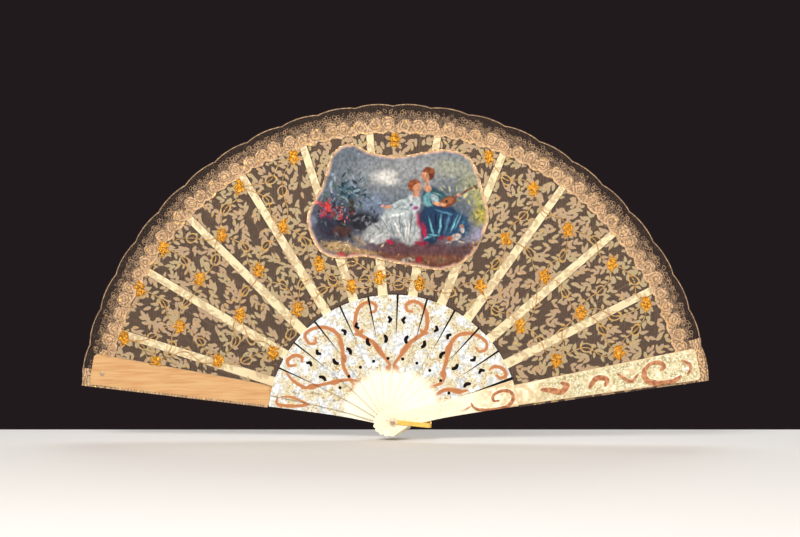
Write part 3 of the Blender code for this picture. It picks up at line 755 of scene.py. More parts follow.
def node_group(name, inputs):
    """A geometry group with named inputs, ended by Realize Instances and Set Material."""
    tree = bpy.data.node_groups.new(name, "GeometryNodeTree")
    tree.interface.new_socket("Geometry", in_out="INPUT", socket_type="NodeSocketGeometry")
    for label, kind, value in inputs:
        socket = tree.interface.new_socket(label, in_out="INPUT", socket_type=kind)
        if value is not None:
            socket.default_value = value
    tree.interface.new_socket("Material", in_out="INPUT", socket_type="NodeSocketMaterial")
    tree.interface.new_socket("Geometry", in_out="OUTPUT", socket_type="NodeSocketGeometry")
    return tree, Shader(tree)


def close_group(s, geometry, material):
    """Smooths the shape, makes it real and gives it its material."""
    smooth = s.node("GeometryNodeSetShadeSmooth", {"Geometry": geometry})
    real = s.node("GeometryNodeRealizeInstances", {"Geometry": smooth.outputs[0]})
    filled = s.node("GeometryNodeSetMaterial", {"Geometry": real.outputs[0], "Material": material})
    s.node("NodeGroupOutput", {0: filled.outputs[0]})


def make_cord_group():
    """Turns a mesh of edges into a round cord along them."""
    inputs = [("Radius", "NodeSocketFloat", 0.0003), ("Sides", "NodeSocketInt", 5)]
    tree, s = node_group("Cord Along Path", inputs)
    given = s.node("NodeGroupInput").outputs
    path = s.node("GeometryNodeMeshToCurve", {0: given["Geometry"]}).outputs[0]
    ring = {"Resolution": given["Sides"], "Radius": given["Radius"]}
    section = s.node("GeometryNodeCurvePrimitiveCircle", ring).outputs[0]
    sweep = {"Curve": path, "Profile Curve": section, "Fill Caps": True}
    close_group(s, s.node("GeometryNodeCurveToMesh", sweep).outputs[0], given["Material"])
    return tree


def make_loops_group():
    """Sets a small thread loop on every point, turned and sized by the point's own values."""
    inputs = [("Thread", "NodeSocketFloat", 0.0002), ("Loop", "NodeSocketFloat", 0.0012)]
    tree, s = node_group("Thread Loops", inputs)
    given = s.node("NodeGroupInput").outputs
    circle, section = (
        s.node("GeometryNodeCurvePrimitiveCircle", {"Resolution": sides, "Radius": given[radius]}).outputs[0]
        for sides, radius in ((9, "Loop"), (4, "Thread"))
    )
    loop = s.node("GeometryNodeCurveToMesh", {"Curve": circle, "Profile Curve": section})
    place_on_points(s, given, loop.outputs[0])
    return tree


def make_beads_group():
    """Sets a rough bead on every point."""
    tree, s = node_group("Glitter Beads", [("Bead", "NodeSocketFloat", 0.0006)])
    given = s.node("NodeGroupInput").outputs
    bead = s.node("GeometryNodeMeshIcoSphere", {"Radius": given["Bead"], "Subdivisions": 1})
    place_on_points(s, given, bead.outputs["Mesh"])
    return tree


def place_on_points(s, given, shape):
    """Sets a shape on every point, with the point's own turn and size."""
    turn, size = (
        s.node("GeometryNodeInputNamedAttribute", {"Name": name}, data_type="FLOAT_VECTOR").outputs[0]
        for name in ("turn", "size")
    )
    spin = s.node("FunctionNodeEulerToRotation", {0: turn}).outputs[0]
    points = s.node("GeometryNodeMeshToPoints", {"Mesh": given["Geometry"]})
    placed = s.node(
        "GeometryNodeInstanceOnPoints",
        {"Points": points.outputs[0], "Instance": shape, "Rotation": spin, "Scale": size},
    )
    close_group(s, placed.outputs[0], given["Material"])


def grow(name, vertices, edges, group, values, material, vectors=None):
    """Runs a group on points or edges in millimetres and returns the result as a plain mesh object."""
    mesh = bpy.data.meshes.new(name)
    mesh.from_pydata((np.asarray(vertices) * MM).tolist(), edges, [])
    for label, rows in (vectors or {}).items():
        data = mesh.attributes.new(label, "FLOAT_VECTOR", "POINT").data
        data.foreach_set("vector", np.asarray(rows, np.float32).ravel())
    source = bpy.data.objects.new(name, mesh)
    bpy.context.scene.collection.objects.link(source)
    modifier = source.modifiers.new("grow", "NODES")
    modifier.node_group = group
    for item in group.interface.items_tree:
        if item.in_out == "INPUT" and item.name in values:
            modifier[item.identifier] = values[item.name]
        elif item.in_out == "INPUT" and item.name == "Material":
            modifier[item.identifier] = material
    graph = bpy.context.evaluated_depsgraph_get()
    result = bpy.data.meshes.new_from_object(source.evaluated_get(graph))
    source.modifiers.clear()
    source.data = result
    return source


# Pieces.


def outermost(v, side):
    """The depth of a node's front, where side is -1, or of its back, where it is 1."""
    return v[:, 1].min() if side < 0 else v[:, 1].max()


def outline_at(node, depth):
    """The outline and holes of a node's flat faces at a depth, as points and edges in millimetres."""
    mesh = NODES[node].data
    v = node_vertices(node)
    level = np.abs(v[:, 1] - depth) < 0.02
    keys, points = {}, []

    def index(vertex):
        key = (round(v[vertex, 0], 3), round(v[vertex, 2], 3))
        if key not in keys:
            keys[key] = len(points)
            points.append(key)
        return keys[key]

    count = {}
    for face in mesh.polygons:
        corners = list(face.vertices)
        if not all(level[c] for c in corners):
            continue
        ids = [index(c) for c in corners]
        for a, b in zip(ids, ids[1:] + ids[:1]):
            if a != b:
                key = (min(a, b), max(a, b))
                count[key] = count.get(key, 0) + 1
    edges = [key for key, times in count.items() if times == 1]
    return np.array(points), edges


def inside_edges(spots, points, edges):
    """Which spots are inside an outline with holes."""
    inside = np.zeros(len(spots), bool)
    x, y = spots[:, 0], spots[:, 1]
    for a, b in edges:
        (x0, y0), (x1, y1) = points[a], points[b]
        if y0 == y1:
            continue
        crosses = ((y0 > y) != (y1 > y)) & (x < x0 + (y - y0) / (y1 - y0) * (x1 - x0))
        inside ^= crosses
    return inside


def dense_face(points, edges, step):
    """Even triangles over an outline with holes, as 2D vertices and faces."""
    low, high = points.min(0), points.max(0)
    gx, gy = np.meshgrid(np.arange(low[0], high[0], step), np.arange(low[1], high[1], step))
    gx[1::2] += step / 2
    spots = np.column_stack((gx.ravel(), gy.ravel()))
    spots = spots[inside_edges(spots, points, edges)]
    split_points, split_edges = list(map(tuple, points)), []
    for a, b in edges:
        p, q = points[a], points[b]
        pieces = max(1, int(np.hypot(*(q - p)) / step))
        last = a
        for k in range(1, pieces):
            split_points.append(tuple(p + (q - p) * k / pieces))
            split_edges.append((last, len(split_points) - 1))
            last = len(split_points) - 1
        split_edges.append((last, b))
    rim = np.array(split_points)
    cell = {}
    for x, y in rim:
        cell.setdefault((int(x / step), int(y / step)), []).append((x, y))
    kept = []
    for x, y in spots:
        cx, cy = int(x / step), int(y / step)
        close = any(
            hypot(x - a, y - b) < 0.55 * step
            for i in (-1, 0, 1)
            for j in (-1, 0, 1)
            for a, b in cell.get((cx + i, cy + j), ())
        )
        if not close:
            kept.append((x, y))
    every = [Vector(p) for p in split_points] + [Vector(p) for p in kept]
    out, _, faces, *_ = delaunay_2d_cdt(every, split_edges, [], 1, 1e-4)
    flat = np.array([(v.x, v.y) for v in out])
    faces = np.array(faces)
    keep = inside_edges(flat[faces].mean(axis=1), points, edges)
    return flat, faces[keep], rim


def rim_distance(flat, rim, limit=3.0):
    """Distance from each point to the nearest point of the rim, up to limit."""
    best = np.full(len(flat), limit)
    for start in range(0, len(flat), 1500):
        part = flat[start : start + 1500]
        gap = np.hypot(part[:, None, 0] - rim[None, :, 0], part[:, None, 1] - rim[None, :, 1])
        best[start : start + 1500] = np.minimum(limit, gap.min(axis=1))
    return best


def make_face(name, node, depth, side, fields, relief):
    """A dense sheet over a node's flat face, raised by relief, with its fields as attributes."""
    flat, faces, rim = dense_face(*outline_at(node, depth), 0.5)
    values = fields(flat)
    edge = rim_distance(flat, rim)
    lift = FACE_CLEARANCE + relief(flat, values, edge)
    vertices = np.column_stack((flat[:, 0], depth + side * lift, flat[:, 1]))
    faces = faces if side > 0 else faces[:, ::-1]
    return new_piece(name, vertices, orient(vertices, faces, side), values)


def orient(vertices, faces, side):
    """Faces wound so that their normals point along side times Y."""
    a, b, c = (vertices[faces[:, k]] for k in range(3))
    normal = np.cross(b - a, c - a)[:, 1]
    return np.where((normal * side > 0)[:, None], faces, faces[:, ::-1])


def blade_fields(flat):
    """The scrolls of the blades, which run on from one blade to the next, and each point's reach."""
    middle = radians(91.0)
    turn = np.arctan2(flat[:, 1], flat[:, 0]) - middle
    reach = np.hypot(*flat.T)
    mirrored = np.column_stack((reach * np.sin(np.abs(turn)), reach * np.cos(turn)))
    centre = distance_to_paths(mirrored, CENTRE_SCROLLS)
    sides = np.minimum(distance_to_paths(flat, RIGHT_SCROLLS), distance_to_paths(flat, LEFT_SCROLLS))
    return {"scroll": np.minimum(centre, sides) - SCROLL_SPREAD, "reach": reach}


def blade_relief(flat, values, edge):
    """Height of the blades' scrolls."""
    painted = smoothstep(*PAINT_START, values["reach"])
    return SCROLL_HEIGHT * smoothstep(0.3, -0.3, values["scroll"]) * painted * smoothstep(0.0, 0.4, edge)


def guard_fields(angle, outer_sign):
    """A function that gives a guard's scrolls, drawn along its axis, and each point's reach."""
    turn = radians(angle)
    scrolls = [(path, half * GUARD_SCROLL_WIDTH) for path, half in GUARD_SCROLLS]

    def fields(flat):
        along = flat[:, 0] * cos(turn) + flat[:, 1] * sin(turn)
        aside = -(-flat[:, 0] * sin(turn) + flat[:, 1] * cos(turn)) * outer_sign
        local = np.column_stack((along, aside))
        return {"scroll": distance_to_paths(local, scrolls), "reach": np.hypot(*flat.T)}

    return fields


def guard_relief(flat, values, edge):
    """Height of a guard's scrolls and hammered ground, kept as a value for the paint as well, which darkens
    the low parts with painted shade.
    """
    carved = smoothstep(0.7, -0.7, values["scroll"]) * smoothstep(*GUARD_SCROLL_START, values["reach"])
    hammered = noise(flat, 1.9, 3) * smoothstep(*GUARD_HAMMER_START, values["reach"])
    height = GUARD_SCROLL_HEIGHT * carved + GUARD_HAMMER_HEIGHT * hammered
    # The height falls to nothing at the rim, so the paint darkens the rim as well, as painted shade.
    values["height"] = height * smoothstep(0.0, 0.9, edge)
    values["edge"] = edge
    return values["height"]


def build_sticks(settings):
    """Painted faces on the blades, and the plain ivory of the sticks."""
    ivory = make_ivory(settings)
    paint = make_blade_paint()
    for layer in range(1, BACK_LAYER):
        name = f"stick_{layer:02d}"
        paint_node(name, ivory)
        front = outermost(node_vertices(name), -1)
        face = make_face(f"blade_paint_{layer:02d}", name, front, -1, blade_fields, blade_relief)
        finish_piece(face, name, paint)


def paint_node(name, material):
    """Gives a CAD node's object a new material."""
    mesh = NODES[name].data
    if not mesh.materials:
        mesh.materials.append(material)
    for index in range(len(mesh.materials)):
        mesh.materials[index] = material


def guard_angle(name):
    """The direction of a guard's or a stick's axis in degrees, from the middle of its tip."""
    v = node_vertices(name)
    reach = np.hypot(v[:, 0], v[:, 2])
    tip = v[reach > reach.max() - 4]
    return degrees(atan2(tip[:, 2].mean(), tip[:, 0].mean()))


def build_guards(settings):
    """Carved outer faces of both guards and the painted inner blade of the back one."""
    relief = make_guard_relief()
    paint_node("front_guard", make_ivory(settings))
    paint_node("back_guard", make_peach())
    for name, side in (("front_guard", -1), ("back_guard", 1)):
        depths = node_vertices(name)[:, 1]
        panel_level = outermost(node_vertices(name), side)
        arm_level = sorted(set(np.round(depths, 2)), key=lambda y: -side * y)[1]
        fields = guard_fields(guard_angle(name), side)
        for part, level in (("panel", panel_level), ("arm", arm_level)):
            face = make_face(f"{name}_{part}_relief", name, level, side, fields, guard_relief)
            finish_piece(face, name, relief)
    inner = outermost(node_vertices("back_guard"), -1)
    face = make_face("back_guard_blade_paint", "back_guard", inner, -1, blade_fields, blade_relief)
    finish_piece(face, "back_guard", make_blade_paint())


def back_arm_outline():
    """The outline of the back guard's arm, whose inner face the lace leaves bare."""
    v = node_vertices("back_guard")
    reach = np.hypot(v[:, 0], v[:, 2])
    return outline_at("back_guard", np.round(v[reach > GUARD_ARM_REACH, 1], 2).min())


def arm_depth(points, outline):
    """How far each point is inside an outline, in millimetres, up to 3. Negative outside."""
    corners, edges = outline
    rim = [corners[a] + (corners[b] - corners[a]) * t for a, b in edges for t in (0, 0.25, 0.5, 0.75)]
    distance = rim_distance(points, np.array(rim))
    return np.where(inside_edges(points, corners, edges), distance, -distance)


def trim_fields(points, reach, turn):
    """The trim's signed area, its rosettes' rings and its hem, for points at a reach and a turn."""
    ripple = noise(points, 3.0, 5) * 1.6
    phase = turn * TRIM_MIDDLE / TRIM_PITCH
    outer = TRIM_OUTER + 2.4 * np.abs(np.cos(phase * pi)) + ripple * 0.5
    inner = TRIM_INNER - 1.5 * np.abs(np.sin(phase * pi)) + ripple * 0.6
    step = np.round(phase)
    aside = (phase - step) * TRIM_PITCH + 1.1 * np.sin(step * 2.3)
    shell = np.hypot(aside, reach - ROSETTE_REACH + 0.9 * np.sin(step * 1.7))
    trim = np.minimum(reach - inner, outer - reach)
    trim = np.minimum(trim, np.where(reach > ROSETTE_REACH, ROSETTE_RADIUS - shell, 3.0))
    return {"trim": trim, "shell": shell, "hem": np.abs(reach - inner - 0.9)}


def rib_distance(points, reach, layer):
    """Distance from each point to the middle line of the rib behind it."""
    turn = radians(guard_angle(body_of_layer(layer)))
    aside = np.abs(points[:, 1] * cos(turn) - points[:, 0] * sin(turn))
    return np.where(reach < RIB_END, aside, FAR)


def leaf_piece(panel, layer, kind, bare):
    """One panel of lace as a dense sheet with its patterns as attributes."""
    rows, columns = ((222, 44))
    under_front = kind == "pleat" and layer == 0
    on_back = kind == "pleat" and layer == BACK_LAYER
    lap = 0.0 if under_front or on_back else PANEL_LAP
    angles, reach = panel.grid(np.linspace(0, 1, rows), columns, spill=lap)
    wave = 1 + EDGE_WAVE_DEPTH * np.abs(np.sin(np.radians(angles) * EDGE_WAVES)) ** 0.7
    reach = panel.inner + (reach - panel.inner) * wave
    turn = np.radians(angles)
    points = np.column_stack(((reach * np.cos(turn)).ravel(), (reach * np.sin(turn)).ravel()))
    outer_edge = panel.inner + (panel.outer - panel.inner) * wave[-1]
    r = reach.ravel()
    values = trim_fields(points, r, turn.ravel())
    values["rim"] = np.tile(outer_edge, rows) - r
    ring = ring_field(points, RINGS)
    inside = smoothstep(*LACE_START, r) * smoothstep(*LACE_END, r)
    motif = np.where(ring < -0.4, NO_PATTERN, leaf_field(points, LEAFLETS))
    values["motif"] = motif = motif + NO_PATTERN * (1 - inside)
    values["ring"] = np.where(inside > 0.5, ring, NO_PATTERN)
    over_rib = kind == "pleat" and 0 < layer < BACK_LAYER
    values["rib"] = rib_distance(points, r, layer) if over_rib else np.full(len(points), FAR)
    values["bare"] = arm_depth(points, bare) if bare else np.full(len(points), -3.0)
    if under_front:
        values["trim"] = np.where(r > TRIM_OUTER, FULL_TRIM, values["trim"])
    if on_back:
        below = turn.ravel() > radians(guard_angle("back_guard"))
        values["trim"] = np.where(below, FULL_TRIM, values["trim"])
    ruffle = noise(points, 1.6, 11) * smoothstep(0, 2, np.minimum(r - 206.5, 216.5 - r))
    middle = (panel.front + panel.back) / 2
    if under_front:
        depth = middle + RUFFLE_ROOM[kind] * ruffle
    else:
        depth = middle - MOTIF_HEIGHT * smoothstep(0.3, -0.3, motif) - RUFFLE_ROOM[kind] * ruffle
    vertices = np.column_stack((points[:, 0], depth, points[:, 1]))
    faces = grid_faces(rows, columns)
    return new_piece(panel.node + "_lace", vertices, faces, values), points, faces


def over_arm(spots, outline):
    """Which spots lie over the bare arm of the back guard."""
    if outline is None or not len(spots):
        return np.zeros(len(spots), bool)
    return inside_edges(spots, *outline)


def add_stretches(path, keep, depth, vertices, edges):
    """Adds a path's kept points at one depth, joined where one follows another."""
    for k, kept in enumerate(keep):
        if kept:
            vertices.append((path[k][0], depth, path[k][1]))
            if k and keep[k - 1]:
                edges.append((len(vertices) - 2, len(vertices) - 1))


def lay_cords(panel, body, bare, twist):
    """The gilt cords that cross a panel, stitched flat on it."""
    vertices, edges = [], []
    for path in CORDS:
        keep = panel.holds(path) & (np.hypot(*path.T) < CORD_END) & ~over_arm(path, bare)
        add_stretches(path, keep, panel.front - 0.07, vertices, edges)
    if edges:
        sizes = {"Radius": CORD_RADIUS * MM, "Sides": 4}
        group = shared_group("Cord Along Path", make_cord_group)
        cord = grow(f"{panel.node}_cord", vertices, edges, group, sizes, twist)
        finish_piece(cord, body, twist)


def lay_ruffle(panel, body, kind, under_front, bare, thread, rng):
    """The thread loops of a panel's trim, lying nearly flat in the panel's own layer."""
    spots = scatter_loops(panel, rng)
    spots = spots[~over_arm(spots, bare)]
    place, tilt = (-0.15, 0.12) if kind == "fold" else (-0.02, 0.05)
    if under_front:
        place, tilt = 0.25, 0.08
    lean = rng.uniform(-tilt, tilt, (2, len(spots)))
    turns = np.column_stack((pi / 2 + lean[0], rng.uniform(0, 2 * pi, len(spots)), lean[1]))
    vectors = {"turn": turns, "size": rng.uniform(*LOOP_SIZES, (len(spots), 3))}
    rows = np.column_stack((spots[:, 0], np.full(len(spots), panel.front + place), spots[:, 1]))
    sizes = {"Thread": LOOP_THREAD * MM, "Loop": LOOP_RADIUS * MM}
    group = shared_group("Thread Loops", make_loops_group)
    ruffle = grow(f"{panel.node}_ruffle", rows, [], group, sizes, thread, vectors)
    finish_piece(ruffle, body, thread)


def lay_flowers(panel, body, under_front, bare, gold, rng):
    """The glitter beads of the gold flowers that fall on a panel."""
    rows = []
    for centre in (polar(*flower) for flower in GOLD_FLOWERS):
        petals = rng.uniform(0, 2 * pi) + np.arange(PETALS) * 2 * pi / 5
        ring = np.column_stack((np.cos(petals), np.sin(petals))) * PETAL_REACH
        lobes = np.vstack((centre + ring, [centre]))
        cluster = np.vstack([lobe + rng.normal(0, PETAL_SPREAD, (BEADS_PER_PETAL, 2)) for lobe in lobes])
        for spot in cluster[panel.holds(cluster) & ~over_arm(cluster, bare)]:
            rows.append((spot[0], panel.front - 0.05 - rng.uniform(0.0, 0.12), spot[1]))
    if len(rows) < FEWEST_BEADS or under_front:
        return
    turns = rng.uniform(0, 6.28, (len(rows), 3)) * (0, 1, 0)
    sizes = rng.uniform(0.6, 1.3, (len(rows), 1)) * np.array(BEAD_SHAPE)
    group = shared_group("Glitter Beads", make_beads_group)
    vectors = {"turn": turns, "size": sizes}
    flower = grow(f"{panel.node}_gold", rows, [], group, {"Bead": BEAD_RADIUS * MM}, gold, vectors)
    finish_piece(flower, body, gold)


def build_leaf(settings):
    """The lace panels, their cords, rings of thread and gold flowers."""
    lace = make_lace(settings)
    thread = make_trim_thread(settings)
    gold = make_glitter_metal("gold_glitter", (0.40, 0.12, 0.0), (1.0, 0.56, 0.08), 1300.0)
    twist = make_glitter_metal("gilt_cord", (0.42, 0.22, 0.07), (0.82, 0.56, 0.24), 1700.0)
    rng = np.random.default_rng(settings.seed)
    arm = back_arm_outline()
    for panel, body, layer, kind in leaf_panels():
        bare = arm if layer == BACK_LAYER or (layer == BACK_LAYER - 1 and kind == "fold") else None
        under_front = layer == 0 and kind == "pleat"
        piece, points, faces = leaf_piece(panel, layer, kind, bare)
        finish_piece(piece, body, lace)
        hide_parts(panel.node)
        lay_cords(panel, body, bare, twist)
        lay_ruffle(panel, body, kind, under_front, bare, thread, rng)
        lay_flowers(panel, body, under_front, bare, gold, rng)


def scatter_loops(panel, rng):
    """Points for thread loops along the trim."""
    rows = []
    start, stop = panel.outer_span
    for reach in LOOP_ROWS:
        count = int((stop - start) * reach * pi / 180 / LOOP_PITCH)
        for k in range(count):
            angle = start + (stop - start) * (k + 0.5) / count
            if 1 < rng.random() * 9:
                rows.append(polar(angle + rng.normal(0, 0.12), reach + rng.normal(0, 0.7)))
    spots = np.array(rows)
    return spots[panel.holds(spots, -LOOP_MARGIN)]


# The medallion's picture. Each stroke is (x, z, half length, half width, degrees, colour, softness).

SKY, MIST, CLOUD = (0.24, 0.27, 0.31), (0.42, 0.43, 0.44), (0.72, 0.70, 0.67)
SKIN, HAIR, WHITE, BLUE = (0.68, 0.40, 0.27), (0.22, 0.06, 0.02), (0.52, 0.56, 0.57), (0.04, 0.10, 0.19)
LIGHT_BLUE, ROSE, LEAF, DARK = (0.26, 0.56, 0.64), (0.52, 0.05, 0.14), (0.10, 0.16, 0.12), (0.07, 0.06, 0.07)
SAND, EARTH, GOLDEN, VIOLET = (0.55, 0.45, 0.26), (0.24, 0.12, 0.09), (0.60, 0.52, 0.16), (0.16, 0.14, 0.26)
SCENERY = (
    (5, 155, 80, 55, 0, SKY, 0.5), (10, 175, 60, 22, 4, MIST, 0.9), (-6, 172, 14, 7, 10, CLOUD, 0.9),
    (-2, 168, 8, 4, 0, (0.74, 0.72, 0.68), 0.9), (42, 178, 24, 10, -6, (0.44, 0.45, 0.38), 0.9),
    (55, 165, 14, 16, 0, (0.46, 0.46, 0.34), 0.9), (-14, 150, 16, 14, 0, (0.27, 0.32, 0.42), 0.9),
    (-42, 140, 22, 26, 0, (0.07, 0.07, 0.12), 0.7), (64, 145, 12, 12, 20, GOLDEN, 0.8),
    (61, 158, 8, 12, 10, (0.58, 0.55, 0.26), 0.9), (62, 128, 14, 12, 0, (0.42, 0.42, 0.54), 0.8),
    (5, 112, 80, 10, 0, EARTH, 0.5), (-38, 122, 20, 5.5, -6, SAND, 0.7), (-20, 118.5, 16, 3, -4, SAND, 0.7),
    (16, 121, 50, 8, -2, (0.22, 0.13, 0.15), 0.7), (20, 113, 50, 5, 2, (0.34, 0.20, 0.14), 0.8),
    (52, 120, 16, 6, 10, (0.20, 0.13, 0.14), 0.7),
    # tree and shrubs
    (-29, 150, 2.4, 16, 6, (0.10, 0.08, 0.08), 0.5), (-31, 161, 11, 8, 0, (0.10, 0.20, 0.25), 0.8),
    (-22, 140, 14, 11, 0, (0.04, 0.04, 0.06), 0.7), (-14, 136, 11, 10, 0, (0.08, 0.08, 0.10), 0.7),
    (-44, 147, 9, 7, 0, (0.28, 0.06, 0.10), 0.7), (-46, 150, 4.6, 4, 0, (0.68, 0.09, 0.10), 0.7),
    (-38, 144, 4, 3.6, 0, (0.44, 0.07, 0.08), 0.7), (-50, 145, 4, 3, 0, (0.42, 0.10, 0.16), 0.7),
    (-36, 133, 10, 6, 0, (0.14, 0.08, 0.07), 0.6), (-24, 127, 7, 3, -30, (0.40, 0.36, 0.30), 0.7),
    (-57, 141, 5, 6, 0, (0.32, 0.36, 0.46), 0.8),
    # flowers on the ground
    (-36, 117, 3, 2.4, 0, (0.58, 0.12, 0.12), 0.6), (-30, 115.5, 3, 2.2, 0, (0.62, 0.26, 0.22), 0.6),
    (-40, 114, 3.4, 2, 0, (0.48, 0.10, 0.12), 0.6), (-25, 114, 3, 2, 0, (0.12, 0.18, 0.17), 0.6),
    (-18, 114.5, 3.4, 2.2, 0, (0.14, 0.22, 0.20), 0.6), (-10, 113.6, 4, 2.2, 0, (0.10, 0.14, 0.16), 0.6),
    (18, 113, 5, 2.8, 0, (0.46, 0.06, 0.09), 0.6), (10, 112.6, 7, 2.2, 10, (0.52, 0.50, 0.46), 0.6),
)
